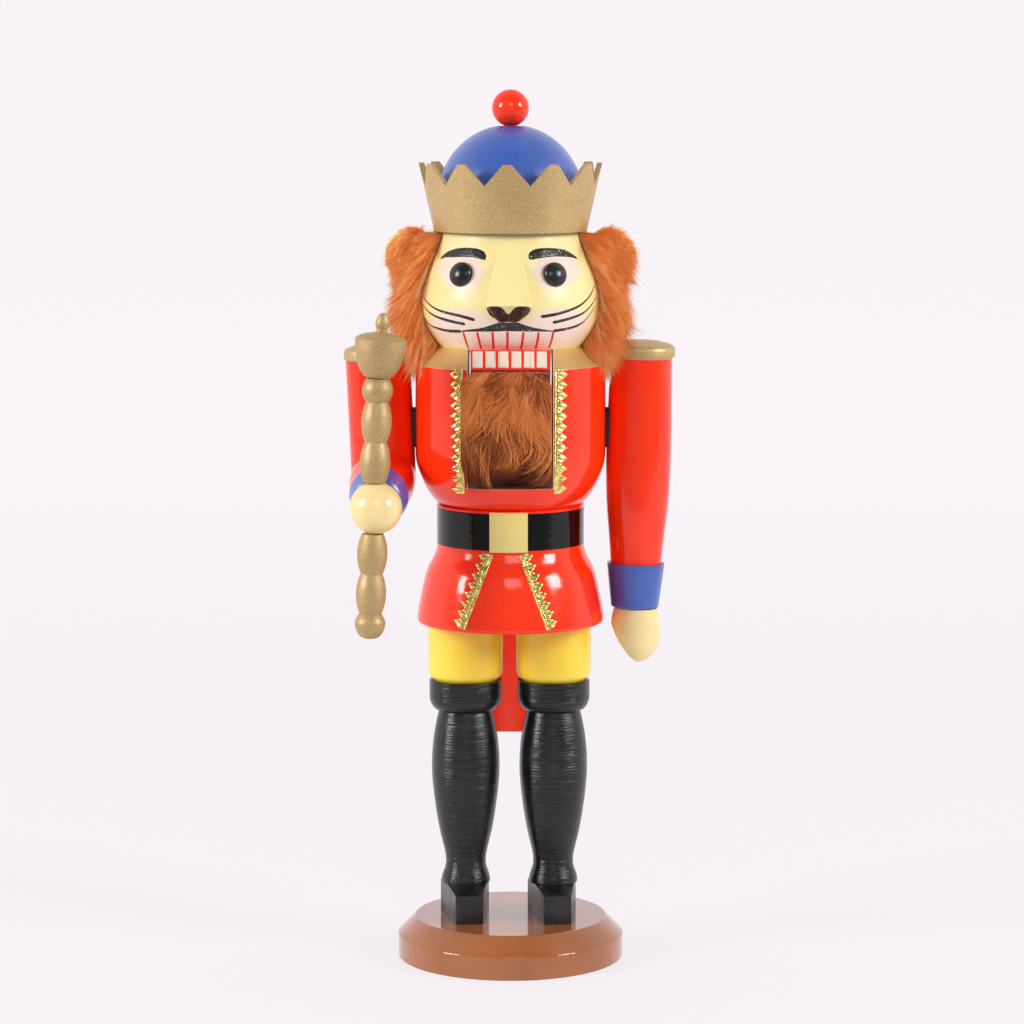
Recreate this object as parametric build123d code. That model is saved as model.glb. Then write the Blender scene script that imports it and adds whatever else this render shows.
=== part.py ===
from build123d import *
import math
import os

# A turned wooden nutcracker: a lion king with a sceptre, standing on a round base.
# Millimetres. The origin is the centre of the base's underside, +Z is up and the figure
# faces -Y, so its own left side is +X. One function makes each piece.

# ---- driving dimensions ------------------------------------------------------------
# base and legs
BASE_R = 49.6
BASE_WALL_H = 10.2
BASE_TOP_R = 41.9
BASE_TOP_Z = 18.0
LEFT_LEG_X = 18.8
RIGHT_LEG_X = -19.7
SHOE_HALF_W = 10.7
SHOE_WAIST_Y = 6.0
SHOE_HEEL_Y = 12.3
SHOE_TOE_HALF_W = 6.0
SHOE_TOE_Y = -21.5
SHOE_YAW = 5.0
ANKLE_Z = 32.8
CUFF_BOTTOM_Z = 109.7
BOOT_TOP_Z = 123.2
BOOT_CUFF_R = 15.9
THIGH_R = 16.4
THIGH_BOTTOM_Z = 118.6
LEG_DOWEL_R = 4.0
TENON_R = 6.0

# coat
SKIRT_BOTTOM_Z = 149.0
BELT_BOTTOM_Z = 183.8
BELT_TOP_Z = 199.8
WAIST_Z = 200.8
WAIST_R = 32.1
BELT_THICK = 0.8
BUCKLE_X = -0.8
BUCKLE_HALF_W = 8.2
BUCKLE_THICK = 0.6
BUCKLE_OVERHANG = 0.6
TORSO_R = 41.4
SHOULDER_Z = 262.0
TORSO_TOP_R = 31.4
TORSO_TOP_Z = 269.8
SLOT_HALF_W = 18.15
SLOT_FLOOR_Z = 211.0

# jaw lever
LEVER_HALF_W = 17.0
PIVOT_Y = 9.0
PIVOT_Z = 240.0
PIN_R = 2.5
PIN_FIT = 0.06
JAW_FRONT_Y = -36.0
JAW_TOP_Z = 269.4
JAW_LIP_Z = 270.3
TEETH_BOTTOM_Z = 261.7
BEARD_BACK_Y = -33.6
CHIN_Z = 238.0
TAIL_IN_Y = 42.3
TAIL_OUT_Y = 52.0
TAIL_BOTTOM_Z = 91.5

# head and crown
HEAD_TOP_Z = 319.0
HEAD_DOWEL_R = 3.0
HEAD_DOWEL_X = 26.0
CROWN_BOTTOM_R = 33.0
CROWN_TOP_R = 39.6
CROWN_TOP_Z = 348.6
CROWN_WALL = 2.3
CROWN_FLOOR = 4.0
CROWN_TEETH = 12
CROWN_TURN = -2.0
CROWN_VALLEY_Z = 339.5
TOOTH_TIP_HALF_W = 1.75
DOME_R = 31.3
DOME_Z = 333.6
CAP_BALL_R = 8.0
CAP_BALL_Z = 372.0
EYE_R = 5.3
LEFT_EYE_AZIMUTH = 31.0
RIGHT_EYE_AZIMUTH = 35.0
EYE_SEAT_R = 36.2
EYE_TILT = 17.0
EYE_SHANK_R = 1.5
EYE_Z = 302.0
NOSE_X = -0.6
NOSE_TIP_Y = -50.8
NOSE_TIP_Z = 290.0
EAR_R = 11.5
EAR_X = 43.0
EAR_Y = 3.0
EAR_Z = 309.0
EAR_THICK = 7.0
EAR_PEG_R = 2.0
MANE_FRONT_Y = -8.0

# arms
ARM_R = 14.1
CAP_R = 14.8
LEFT_ARM_TOP_Z = 264.3
LEFT_CAP_TOP_Z = 271.8
RIGHT_ARM_TOP_Z = 263.2
RIGHT_CAP_TOP_Z = 270.6
SHOULDER_DOWEL_Z = 234.0
SHOULDER_DOWEL_R = 4.0
SPACER_R = 8.8
SPACER_W = 10.0
LEFT_ARM_X = 56.0
LEFT_ARM_LEAN = 1.2
RIGHT_ARM_X = -56.15
RIGHT_ARM_LEAN = -2.6
LEFT_CUFF_TOP_Z = 174.6
LEFT_CUFF_BOTTOM_Z = 154.8
WRIST_DOWEL_R = 3.0
HAND_OFFSET_X = 0.5
HAND_TIP_Z = 130.7
ELBOW_Z = 212.6
FOREARM_DROP = 7.5
FOREARM_YAW = 1.5
RIGHT_CUFF_FROM = 33.5
RIGHT_CUFF_TO = 46.0
FIST_FROM_ELBOW = 55.5
FIST_R = 11.1

# sceptre, heights along its own axis measured from the fist's centre
SCEPTRE_OFFSET_X = -0.9
SCEPTRE_LEAN = 2.1
CUP_EXTRA_LEAN = 3.0
ROD_R = 2.0
BEAD_R = 6.4
BEAD_END_R = 4.6
BEAD_LENGTH = 17.0
SCEPTRE_BEAD_STARTS = (27.8, 10.8, -28.0, -45.0)
ROUND_BEAD_FROM = 44.8
CUP_FROM = 54.95

# foil trim
LACE_THICK = 0.35
LACE_PITCH = 4.7
LACE_TOOTH = 2.6
LACE_BAND = 3.0

SOFT_GAP = 0.4
FIT = 0.04

parts = {}


# ---- helpers -----------------------------------------------------------------------
def turned(*curves):
    """A solid of revolution about Z. The curves give radius and height, bottom to top."""
    start = curves[0] @ 0
    end = curves[-1] @ 1
    edges = list(curves)
    if start.X > 0:
        edges.append(Line((0, start.Y), (start.X, start.Y)))
    if end.X > 0:
        edges.append(Line((end.X, end.Y), (0, end.Y)))
    edges.append(Line((0, end.Y), (0, start.Y)))
    face = make_face(Plane.XZ * (Curve() + edges))
    return revolve(face, Axis.Z)


def rod(radius, bottom, top, x=0.0, y=0.0):
    """An upright cylinder between two heights."""
    return Pos(x, y, (bottom + top) / 2) * Cylinder(radius, top - bottom)


def cross_rod(radius, x_from, x_to, y, z):
    """A cylinder along X."""
    return Pos((x_from + x_to) / 2, y, z) * Rot(0, 90, 0) * Cylinder(radius, abs(x_to - x_from))


def prism_x(points, half_width):
    """A side outline in (Y, Z), as wide as stated on both sides of X = 0."""
    face = make_face(Plane.YZ * Polyline(*points, close=True))
    return extrude(face, half_width, dir=(1, 0, 0), both=True)


def prism_y(points, y_from, y_to):
    """A front outline in (X, Z), from one Y to another."""
    face = make_face(Plane.XZ * Polyline(*points, close=True))
    return Pos(0, y_to, 0) * extrude(face, y_to - y_from, dir=(0, -1, 0))


def leg_x(side):
    return LEFT_LEG_X if side > 0 else RIGHT_LEG_X


def leaning(shape, lean, x, z):
    """Turn an arm piece about Y at its shoulder."""
    return Pos(x, 0, z) * Rot(0, lean, 0) * Pos(-x, 0, -z) * shape


# ---- base and legs -----------------------------------------------------------------
def base_plate():
    plate = turned(Polyline((BASE_R, 0), (BASE_R, BASE_WALL_H), (BASE_TOP_R, BASE_TOP_Z)))
    plate = fillet(plate.edges().filter_by(GeomType.CIRCLE), 0.6)
    for side in (-1, 1):
        plate -= rod(LEG_DOWEL_R + FIT, 6, BASE_TOP_Z + 1, leg_x(side))
    return plate


def shoe(side):
    """A flange with a coned top, sawn to a wedge with a flat toe."""
    flange = turned(Polyline((24.5, BASE_TOP_Z), (24.5, 30.0), (10.5, ANKLE_Z)))
    sides = Polyline(
        (-SHOE_HALF_W, SHOE_WAIST_Y),
        (-SHOE_TOE_HALF_W, SHOE_TOE_Y),
        (SHOE_TOE_HALF_W, SHOE_TOE_Y),
        (SHOE_HALF_W, SHOE_WAIST_Y),
    )
    heel = ThreePointArc((SHOE_HALF_W, SHOE_WAIST_Y), (0, SHOE_HEEL_Y), (-SHOE_HALF_W, SHOE_WAIST_Y))
    sole = make_face(Curve() + [sides, heel])
    sole = fillet([v for v in sole.vertices() if v.Y < SHOE_TOE_Y + 1], 0.8)
    body = flange & Pos(0, 0, BASE_TOP_Z) * extrude(sole, ANKLE_Z - BASE_TOP_Z, dir=(0, 0, 1))
    body -= rod(LEG_DOWEL_R + FIT, BASE_TOP_Z - 1, ANKLE_Z + 1)
    return Pos(leg_x(side), 0, 0) * Rot(0, 0, SHOE_YAW) * body


def boot(side):
    """Turned calf with a flared ankle and a cup that takes the thigh."""
    calf = Spline(
        (10.6, ANKLE_Z),
        (10.7, 34.0),
        (9.2, 39.3),
        (10.4, 51.0),
        (13.4, 67.2),
        (14.9, 83.3),
        (14.1, 97.5),
        (11.7, CUFF_BOTTOM_Z),
    )
    cuff = Spline(
        (11.7, CUFF_BOTTOM_Z),
        (15.0, 112.2),
        (BOOT_CUFF_R, 116.0),
        tangents=((1, 0.1), (0, 1)),
    )
    wall = Line((BOOT_CUFF_R, 116.0), (BOOT_CUFF_R, BOOT_TOP_Z))
    solid = turned(calf, cuff, wall)
    rim = solid.edges().filter_by(GeomType.CIRCLE).sort_by(Axis.Z)[-1]
    solid = fillet(rim, 0.7)
    cup = Polyline((14.4, BOOT_TOP_Z + 1), (14.4, THIGH_BOTTOM_Z + 2), (10.0, THIGH_BOTTOM_Z - 0.5))
    solid -= turned(cup)
    solid -= rod(TENON_R + FIT, 107.5, THIGH_BOTTOM_Z)
    solid -= rod(LEG_DOWEL_R + FIT, ANKLE_Z - 1, 58.0)
    return Pos(leg_x(side), 0, 0) * solid


def leg_dowel(side):
    return rod(LEG_DOWEL_R, 6.5, 57.5, leg_x(side))


def trouser_leg(side):
    """Turned thigh: a rounded lower end in the boot's cup and a tenon at each end."""
    low = Spline(
        (12.4, THIGH_BOTTOM_Z + 1.0),
        (13.6, BOOT_TOP_Z - 0.6),
        (THIGH_R, BOOT_TOP_Z + 3.8),
        tangents=((0.5, 1), (0.1, 1)),
    )
    wall = Line((THIGH_R, BOOT_TOP_Z + 3.8), (THIGH_R, SKIRT_BOTTOM_Z))
    solid = turned(Line((10.0, THIGH_BOTTOM_Z), (12.4, THIGH_BOTTOM_Z + 1.0)), low, wall)
    solid += rod(TENON_R, 108.0, THIGH_BOTTOM_Z + 1)
    solid += rod(TENON_R, SKIRT_BOTTOM_Z - 1, 163.5)
    return Pos(leg_x(side), 0, 0) * solid


# ---- coat --------------------------------------------------------------------------
def skirt_wall():
    """The skirt's turned outside, from its rounded hem to the belt seat."""
    return [
        Line((39.2, SKIRT_BOTTOM_Z), (39.6, SKIRT_BOTTOM_Z)),
        Spline((39.6, SKIRT_BOTTOM_Z), (40.8, 150.9), tangents=((1, 0.1), (0, 1))),
        Spline(
            (40.8, 150.9),
            (39.7, 158.0),
            (38.1, 166.0),
            (35.6, 173.9),
            (32.9, 179.3),
            (WAIST_R, 182.0),
            tangents=((-0.05, 1), (-0.3, 1)),
        ),
        Line((WAIST_R, 182.0), (WAIST_R, BELT_BOTTOM_Z)),
    ]


def skirt():
    core_r = WAIST_R - BELT_THICK
    belt_seat = Polyline(
        (WAIST_R, BELT_BOTTOM_Z),
        (core_r, BELT_BOTTOM_Z),
        (core_r, BELT_TOP_Z),
        (WAIST_R, BELT_TOP_Z),
        (WAIST_R, WAIST_Z),
    )
    solid = turned(*skirt_wall(), belt_seat)
    solid += rod(10.0, WAIST_Z - 1, 208.5)
    for side in (-1, 1):
        solid -= rod(TENON_R + FIT, SKIRT_BOTTOM_Z - 1, 164.0, leg_x(side))
    return solid


def belt_band():
    ring = rod(WAIST_R, BELT_BOTTOM_Z, BELT_TOP_Z)
    ring = fillet(ring.edges().filter_by(GeomType.CIRCLE), 0.25)
    return ring - rod(WAIST_R - BELT_THICK, BELT_BOTTOM_Z - 1, BELT_TOP_Z + 1)


def belt_buckle():
    bottom = BELT_BOTTOM_Z - BUCKLE_OVERHANG
    top = BELT_TOP_Z + BUCKLE_OVERHANG
    shell = rod(WAIST_R + BUCKLE_THICK, bottom, top)
    shell = fillet(shell.edges().filter_by(GeomType.CIRCLE), 0.3)
    shell -= rod(WAIST_R, bottom - 1, top + 1)
    front = Pos(BUCKLE_X, -WAIST_R, (bottom + top) / 2) * Box(2 * BUCKLE_HALF_W, 20, top - bottom + 2)
    return shell & front


def torso_wall():
    """The torso's turned outside, from the waist to the top of the sloped shoulder."""
    return [
        Spline(
            (30.6, WAIST_Z),
            (35.2, 205.6),
            (38.1, 210.9),
            (40.4, 217.2),
            (TORSO_R, 227.0),
            tangents=((1, 0.7), (0, 1)),
        ),
        Line((TORSO_R, 227.0), (TORSO_R, SHOULDER_Z)),
        Line((TORSO_R, SHOULDER_Z), (TORSO_TOP_R, TORSO_TOP_Z)),
    ]


def torso():
    solid = turned(*torso_wall())
    circles = solid.edges().filter_by(GeomType.CIRCLE)
    solid = fillet([e for e in circles if abs(e.center().Z - SHOULDER_Z) < 0.1], 0.6)
    slot_height = TORSO_TOP_Z - SLOT_FLOOR_Z + 2
    solid -= Pos(0, 0, SLOT_FLOOR_Z + slot_height / 2) * Box(2 * SLOT_HALF_W, 3 * TORSO_R, slot_height)
    solid -= rod(10.0 + FIT, WAIST_Z - 1, 209.0)
    solid -= cross_rod(PIN_R + 0.02, -TORSO_R, TORSO_R, PIVOT_Y, PIVOT_Z)
    for side in (-1, 1):
        solid -= cross_rod(SHOULDER_DOWEL_R + FIT, side * 28.0, side * TORSO_R * 1.1, 0, SHOULDER_DOWEL_Z)
        solid -= rod(HEAD_DOWEL_R + FIT, 256.0, TORSO_TOP_Z + 1, side * HEAD_DOWEL_X)
    return solid


def pivot_pin():
    half = math.sqrt(TORSO_R**2 - (PIVOT_Y + PIN_R) ** 2) - 0.3
    return cross_rod(PIN_R, -half, half, PIVOT_Y, PIVOT_Z)


# ---- jaw lever and beard -----------------------------------------------------------
def jaw_lever():
    """One board: the jaw and its teeth in front, a hub at the pin, the coat tail behind."""
    front = FilletPolyline(
        (PIVOT_Y, JAW_TOP_Z),
        (-31.5, JAW_TOP_Z),
        (BEARD_BACK_Y, JAW_LIP_Z),
        (JAW_FRONT_Y, JAW_LIP_Z),
        (JAW_FRONT_Y, TEETH_BOTTOM_Z),
        (BEARD_BACK_Y, TEETH_BOTTOM_Z),
        (BEARD_BACK_Y, CHIN_Z),
        (-16.0, 230.0),
        (8.0, 224.0),
        (35.5, 218.0),
        (TAIL_IN_Y, 208.0),
        (TAIL_IN_Y, TAIL_BOTTOM_Z),
        (TAIL_OUT_Y, TAIL_BOTTOM_Z),
        (TAIL_OUT_Y, 236.0),
        (36.0, 249.0),
        (17.0, 258.0),
        radius=0.5,
        close=True,
    )
    board = extrude(make_face(Plane.YZ * front), LEVER_HALF_W, dir=(1, 0, 0), both=True)
    nut_seat = Pos(0, -17.0, JAW_TOP_Z + 17.5) * Sphere(19.5)
    board -= nut_seat
    board -= cross_rod(PIN_R + PIN_FIT, -LEVER_HALF_W - 1, LEVER_HALF_W + 1, PIVOT_Y, PIVOT_Z)
    return board


def beard():
    """Long pile fabric glued below the teeth, hanging to the floor of the slot."""
    outline = [
        (BEARD_BACK_Y - SOFT_GAP, TEETH_BOTTOM_Z - SOFT_GAP),
        (BEARD_BACK_Y - SOFT_GAP, CHIN_Z - 1.0),
        (-31.0, 233.5),
        (-29.0, 222.0),
        (-29.5, SLOT_FLOOR_Z + 1.0),
        (-36.0, SLOT_FLOOR_Z + 1.0),
        (-40.0, 222.0),
        (-40.5, 240.0),
        (-37.5, 254.0),
    ]
    pile = prism_x(outline, LEVER_HALF_W - 0.4)
    return fillet(pile.edges().filter_by(Axis.X), 0.5)


# ---- head --------------------------------------------------------------------------
def head_wall(grow=0.0):
    """The head's turned outside, from the mouth to the crown."""
    return Spline(
        (31.0 + grow, TORSO_TOP_Z),
        (34.0 + grow, 273.7),
        (37.3 + grow, 279.4),
        (39.2 + grow, 289.0),
        (37.6 + grow, 298.0),
        (34.2 + grow, 306.6),
        (29.6 + grow, HEAD_TOP_Z),
    )


def head_blank(grow=0.0):
    return turned(head_wall(grow))


def eye_place(side):
    """Where an eye sits, its own Z axis pointing out of the face."""
    azimuth = LEFT_EYE_AZIMUTH if side > 0 else -RIGHT_EYE_AZIMUTH
    across = EYE_SEAT_R * math.sin(math.radians(azimuth))
    front = -EYE_SEAT_R * math.cos(math.radians(azimuth))
    return Pos(across, front, EYE_Z) * Rot(0, 0, azimuth) * Rot(90 - EYE_TILT, 0, 0)


def head():
    solid = head_blank()
    for side in (-1, 1):
        solid -= rod(HEAD_DOWEL_R + FIT, TORSO_TOP_Z - 1, 284.0, side * HEAD_DOWEL_X)
        solid -= eye_place(side) * Cylinder(EYE_SHANK_R + FIT, 18)
        solid -= cross_rod(EAR_PEG_R + FIT, side * 25, side * 45, EAR_Y, EAR_Z)
    return solid - rod(LEG_DOWEL_R + FIT, 304.0, HEAD_TOP_Z + 1)


def head_dowels():
    return Compound([rod(HEAD_DOWEL_R, 256.5, 283.5, side * HEAD_DOWEL_X) for side in (-1, 1)])


def nose_section(half_width, front_y, z, corner):
    """A level slice of the nose, rounded at its corners and running back into the head."""
    back_y = -20.0
    centre_y = (front_y + back_y) / 2
    return Pos(NOSE_X, centre_y, z) * RectangleRounded(2 * half_width, back_y - front_y, corner)


def nose():
    """A wedge with rounded front corners and a slanted underside, fitted to the face."""
    brow = nose_section(5.6, -33.6, 309.0, 2.4)
    tip = nose_section(9.6, NOSE_TIP_Y, NOSE_TIP_Z, 3.2)
    lip = nose_section(4.4, -42.0, 282.5, 2.0)
    bridge = loft([tip, brow], ruled=True)
    underside = loft([lip, tip], ruled=True)
    return bridge + underside - head_blank()


def eye(side):
    stud = turned(
        Polyline((EYE_SHANK_R, -8.0), (EYE_SHANK_R, -1.2), (EYE_R, -1.2), (EYE_R, 0.5)),
        Spline((EYE_R, 0.5), (3.6, 2.9), (0, 3.8), tangents=((0, 1), (-1, 0))),
    )
    return eye_place(side) * stud - head_core(side)


def head_core(side):
    """The face behind an eye stud, less the hole for its shank."""
    return head_blank() - eye_place(side) * Cylinder(EYE_SHANK_R + FIT, 18)


def ear(side):
    disc = Pos(side * EAR_X, EAR_Y, EAR_Z) * Rot(90, 0, 0) * Cylinder(EAR_R, EAR_THICK)
    disc = fillet(disc.edges().filter_by(GeomType.CIRCLE), 1.6)
    disc -= head_blank(FIT)
    return disc + cross_rod(EAR_PEG_R, side * 26, side * 40, EAR_Y, EAR_Z)


def mane():
    """Pile fabric round the back half of the head, from cheek to cheek."""
    outside = Spline(
        (40.5, TORSO_TOP_Z + 3.2),
        (48.0, 283.0),
        (50.6, 300.0),
        (47.5, 313.0),
        (40.0, 318.4),
        tangents=((1, 0.5), (-1, 0.2)),
    )
    pile = turned(outside) - head_blank(SOFT_GAP)
    pile -= Pos(0, MANE_FRONT_Y - 50, 300) * Box(140, 100, 100)
    ear_room = Rot(90, 0, 0) * Cylinder(EAR_R + SOFT_GAP, EAR_THICK + 2 * SOFT_GAP)
    for side in (-1, 1):
        pile -= Pos(side * EAR_X, EAR_Y, EAR_Z) * ear_room
        pile -= rod(CAP_R + 1.2, 250, LEFT_CAP_TOP_Z + 1.6, side * LEFT_ARM_X)
    return pile.solids().sort_by(SortBy.VOLUME)[-1]


# ---- crown -------------------------------------------------------------------------
def crown_r(z):
    """The crown's outside radius at a height."""
    share = (z - HEAD_TOP_Z) / (CROWN_TOP_Z - HEAD_TOP_Z)
    return CROWN_BOTTOM_R + share * (CROWN_TOP_R - CROWN_BOTTOM_R)


def crown_ring():
    """A turned cup whose rim is sawn into teeth."""
    cup = turned(Line((CROWN_BOTTOM_R, HEAD_TOP_Z), (CROWN_TOP_R, CROWN_TOP_Z)))
    floor_z = HEAD_TOP_Z + CROWN_FLOOR
    over_z = CROWN_TOP_Z + 1
    cup -= turned(Line((crown_r(floor_z) - CROWN_WALL, floor_z), (crown_r(over_z) - CROWN_WALL, over_z)))
    pitch = 360 / CROWN_TEETH
    gap_half_w = CROWN_TOP_R * math.sin(math.radians(pitch / 2)) - TOOTH_TIP_HALF_W
    rise = (CROWN_TOP_Z - CROWN_VALLEY_Z) / gap_half_w
    cut_half_w = gap_half_w + 1
    cut_top = CROWN_VALLEY_Z + rise * cut_half_w
    notch = prism_y([(0, CROWN_VALLEY_Z), (-cut_half_w, cut_top), (cut_half_w, cut_top)], -50, -25)
    for i in range(CROWN_TEETH):
        cup -= Rot(0, 0, CROWN_TURN + (i + 0.5) * pitch) * notch
    return cup - rod(LEG_DOWEL_R + FIT, HEAD_TOP_Z - 1, floor_z + 1)


def crown_dowel():
    return rod(LEG_DOWEL_R, 304.5, 337.5)


def ball_seat_z():
    """The small flat on top of the dome."""
    return DOME_Z + DOME_R - 0.6


def crown_dome():
    floor_z = HEAD_TOP_Z + CROWN_FLOOR
    seat_z = ball_seat_z()
    seat_r = math.sqrt(DOME_R**2 - (seat_z - DOME_Z) ** 2)
    middle = math.radians(40)
    on_arc = (DOME_R * math.cos(middle), DOME_Z + DOME_R * math.sin(middle))
    cap = ThreePointArc((DOME_R, DOME_Z), on_arc, (seat_r, seat_z))
    dome = turned(Line((DOME_R - 0.5, floor_z), (DOME_R, DOME_Z)), cap)
    dome -= rod(LEG_DOWEL_R + FIT, floor_z - 1, 338.0)
    return dome - rod(2.5 + FIT, 352.0, seat_z + 1)


def crown_ball():
    seat_z = ball_seat_z()
    ball = Pos(0, 0, CAP_BALL_Z) * Sphere(CAP_BALL_R)
    ball &= Pos(0, 0, seat_z + 20) * Box(40, 40, 40)
    return ball + rod(2.5, 352.5, seat_z + 1)


# ---- arms --------------------------------------------------------------------------
def shoulder_cap(x, lean, bottom, top):
    """A thick disc with a rounded upper edge, on top of the arm."""
    cap = turned(
        Line((CAP_R - 1.2, bottom), (CAP_R, bottom + 1.4)),
        Line((CAP_R, bottom + 1.4), (CAP_R, top - 4.2)),
        Spline(
            (CAP_R, top - 4.2),
            (CAP_R - 2.2, top - 1.3),
            (CAP_R - 6.0, top - 0.3),
            (0, top),
            tangents=((0, 1), (-1, 0)),
        ),
    )
    return leaning(Pos(x, 0, 0) * cap, lean, x, SHOULDER_DOWEL_Z)


def arm_side(x):
    return 1 if x > 0 else -1


def shoulder_bore(x):
    """The hole in an arm for its shoulder dowel."""
    side = arm_side(x)
    return cross_rod(SHOULDER_DOWEL_R + FIT, x - side * (ARM_R + 2), x + side * 2.0, 0, SHOULDER_DOWEL_Z)


def shoulder_dowel(x):
    side = arm_side(x)
    return cross_rod(SHOULDER_DOWEL_R, side * 28.5, x + side * 1.5, 0, SHOULDER_DOWEL_Z)


def shoulder_spacer(x, lean, arm_blank):
    """A saddle washer between the two round surfaces."""
    side = arm_side(x)
    block = cross_rod(SPACER_R, side * 36, side * 48, 0, SHOULDER_DOWEL_Z)
    block &= Pos(0, 0, SHOULDER_DOWEL_Z) * Box(120, SPACER_W, 3 * SPACER_R)
    block -= turned(*torso_wall())
    block -= arm_blank
    return block - cross_rod(SHOULDER_DOWEL_R + FIT, side * 30, side * 50, 0, SHOULDER_DOWEL_Z)


def left_sleeve_blank():
    sleeve = turned(
        Line((8.0, 168.0), (11.0, 170.0)),
        Spline(
            (11.0, 170.0),
            (11.65, 182.0),
            (13.4, 200.0),
            (ARM_R, 219.0),
            (13.9, 240.0),
            (13.5, LEFT_ARM_TOP_Z),
        ),
    )
    return leaning(Pos(LEFT_ARM_X, 0, 0) * sleeve, LEFT_ARM_LEAN, LEFT_ARM_X, SHOULDER_DOWEL_Z)


def left_sleeve():
    drill = rod(WRIST_DOWEL_R + FIT, 160, 184, LEFT_ARM_X)
    drill = leaning(drill, LEFT_ARM_LEAN, LEFT_ARM_X, SHOULDER_DOWEL_Z)
    return left_sleeve_blank() - shoulder_bore(LEFT_ARM_X) - drill


def left_cuff():
    """A tapered cup round the end of the sleeve."""
    cuff = turned(
        Polyline((9.3, LEFT_CUFF_BOTTOM_Z), (10.4, LEFT_CUFF_BOTTOM_Z + 0.9), (12.4, LEFT_CUFF_TOP_Z - 1.6)),
        Line((12.4, LEFT_CUFF_TOP_Z - 1.6), (12.5, LEFT_CUFF_TOP_Z)),
    )
    cuff -= turned(Polyline((8.0, 167.6), (11.3, 169.8), (11.5, LEFT_CUFF_TOP_Z + 1)))
    cuff -= rod(WRIST_DOWEL_R + FIT, LEFT_CUFF_BOTTOM_Z - 1, 170)
    return leaning(Pos(LEFT_ARM_X, 0, 0) * cuff, LEFT_ARM_LEAN, LEFT_ARM_X, SHOULDER_DOWEL_Z)


def left_hand():
    """A turned teardrop, rounded off on its inner side by one bulging cut."""
    hand = turned(
        Line((0.5, HAND_TIP_Z), (1.0, HAND_TIP_Z)),
        Spline(
            (1.0, HAND_TIP_Z),
            (5.8, 132.3),
            (9.4, 136.5),
            (11.0, 143.0),
            (10.6, 149.5),
            (9.7, LEFT_CUFF_BOTTOM_Z),
            tangents=((1, 0.1), (-0.2, 1)),
        ),
    )
    inner = ThreePointArc((-10.9, 148.5), (-6.5, 139.4), (1.6, 130.4))
    outer = Polyline((1.6, 130.4), (1.6, 120), (-30, 120), (-30, 148.5), (-10.9, 148.5))
    waste = make_face(Plane.XZ * (Curve() + [inner, outer]))
    hand -= extrude(waste, 20, dir=(0, 1, 0), both=True)
    hand = Pos(HAND_OFFSET_X, 0, 0) * hand - rod(WRIST_DOWEL_R + FIT, 143.5, LEFT_CUFF_BOTTOM_Z + 1)
    return leaning(Pos(LEFT_ARM_X, 0, 0) * hand, LEFT_ARM_LEAN, LEFT_ARM_X, SHOULDER_DOWEL_Z)


def left_wrist_dowel():
    dowel = rod(WRIST_DOWEL_R, 144.0, 183.5, LEFT_ARM_X)
    return leaning(dowel, LEFT_ARM_LEAN, LEFT_ARM_X, SHOULDER_DOWEL_Z)


# the bent arm: the elbow, the forearm's frame and the mitre between the two lengths
UP_THE_ARM = Vector(0, 0, 1).rotate(Axis.Y, RIGHT_ARM_LEAN)
ELBOW = Vector(RIGHT_ARM_X, 0, SHOULDER_DOWEL_Z) - UP_THE_ARM * (SHOULDER_DOWEL_Z - ELBOW_Z)
ALONG_FOREARM = Vector(0, -1, 0).rotate(Axis.X, FOREARM_DROP).rotate(Axis.Z, -FOREARM_YAW)
FOREARM_PLANE = Plane(origin=ELBOW, x_dir=(1, 0, 0), z_dir=ALONG_FOREARM)
MITRE = Plane(origin=ELBOW, z_dir=UP_THE_ARM - ALONG_FOREARM)
FIST_CENTRE = ELBOW + ALONG_FOREARM * FIST_FROM_ELBOW


def right_arm_blank():
    blank = rod(ARM_R, ELBOW_Z - 20, RIGHT_ARM_TOP_Z, RIGHT_ARM_X)
    return leaning(blank, RIGHT_ARM_LEAN, RIGHT_ARM_X, SHOULDER_DOWEL_Z)


def right_upper_arm():
    arm = split(right_arm_blank(), bisect_by=MITRE, keep=Keep.TOP)
    return arm - shoulder_bore(RIGHT_ARM_X) - elbow_bore()


def right_forearm():
    blank = turned(
        Line((ARM_R, -20), (ARM_R, 12)),
        Spline((ARM_R, 12), (12.9, 24), (11.3, 37.5), tangents=((0, 1), (-0.12, 1))),
        Line((11.3, 37.5), (9.0, 38.5)),
    )
    arm = split(FOREARM_PLANE * blank, bisect_by=MITRE, keep=Keep.BOTTOM)
    wrist = FOREARM_PLANE * rod(WRIST_DOWEL_R, 30, 50)
    return arm - elbow_bore() + wrist


def elbow_axis(radius, half_length):
    """A cylinder square to the mitre, through the elbow."""
    return Plane(origin=ELBOW, z_dir=UP_THE_ARM - ALONG_FOREARM) * Cylinder(radius, 2 * half_length)


def elbow_bore():
    return elbow_axis(2.5 + FIT, 8.5)


def right_elbow_dowel():
    return elbow_axis(2.5, 8.0)


def right_cuff():
    cuff = turned(
        Line((12.6, RIGHT_CUFF_FROM), (12.7, RIGHT_CUFF_FROM + 1.2)),
        Line((12.7, RIGHT_CUFF_FROM + 1.2), (10.6, RIGHT_CUFF_TO - 0.9)),
        Line((10.6, RIGHT_CUFF_TO - 0.9), (9.6, RIGHT_CUFF_TO)),
    )
    cuff -= turned(Polyline((11.9, RIGHT_CUFF_FROM - 1), (11.6, 37.7), (9.0, 38.7)))
    cuff -= rod(WRIST_DOWEL_R + FIT, 36, 50)
    placed = FOREARM_PLANE * cuff
    return placed - Pos(*FIST_CENTRE) * Sphere(FIST_R)


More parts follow.
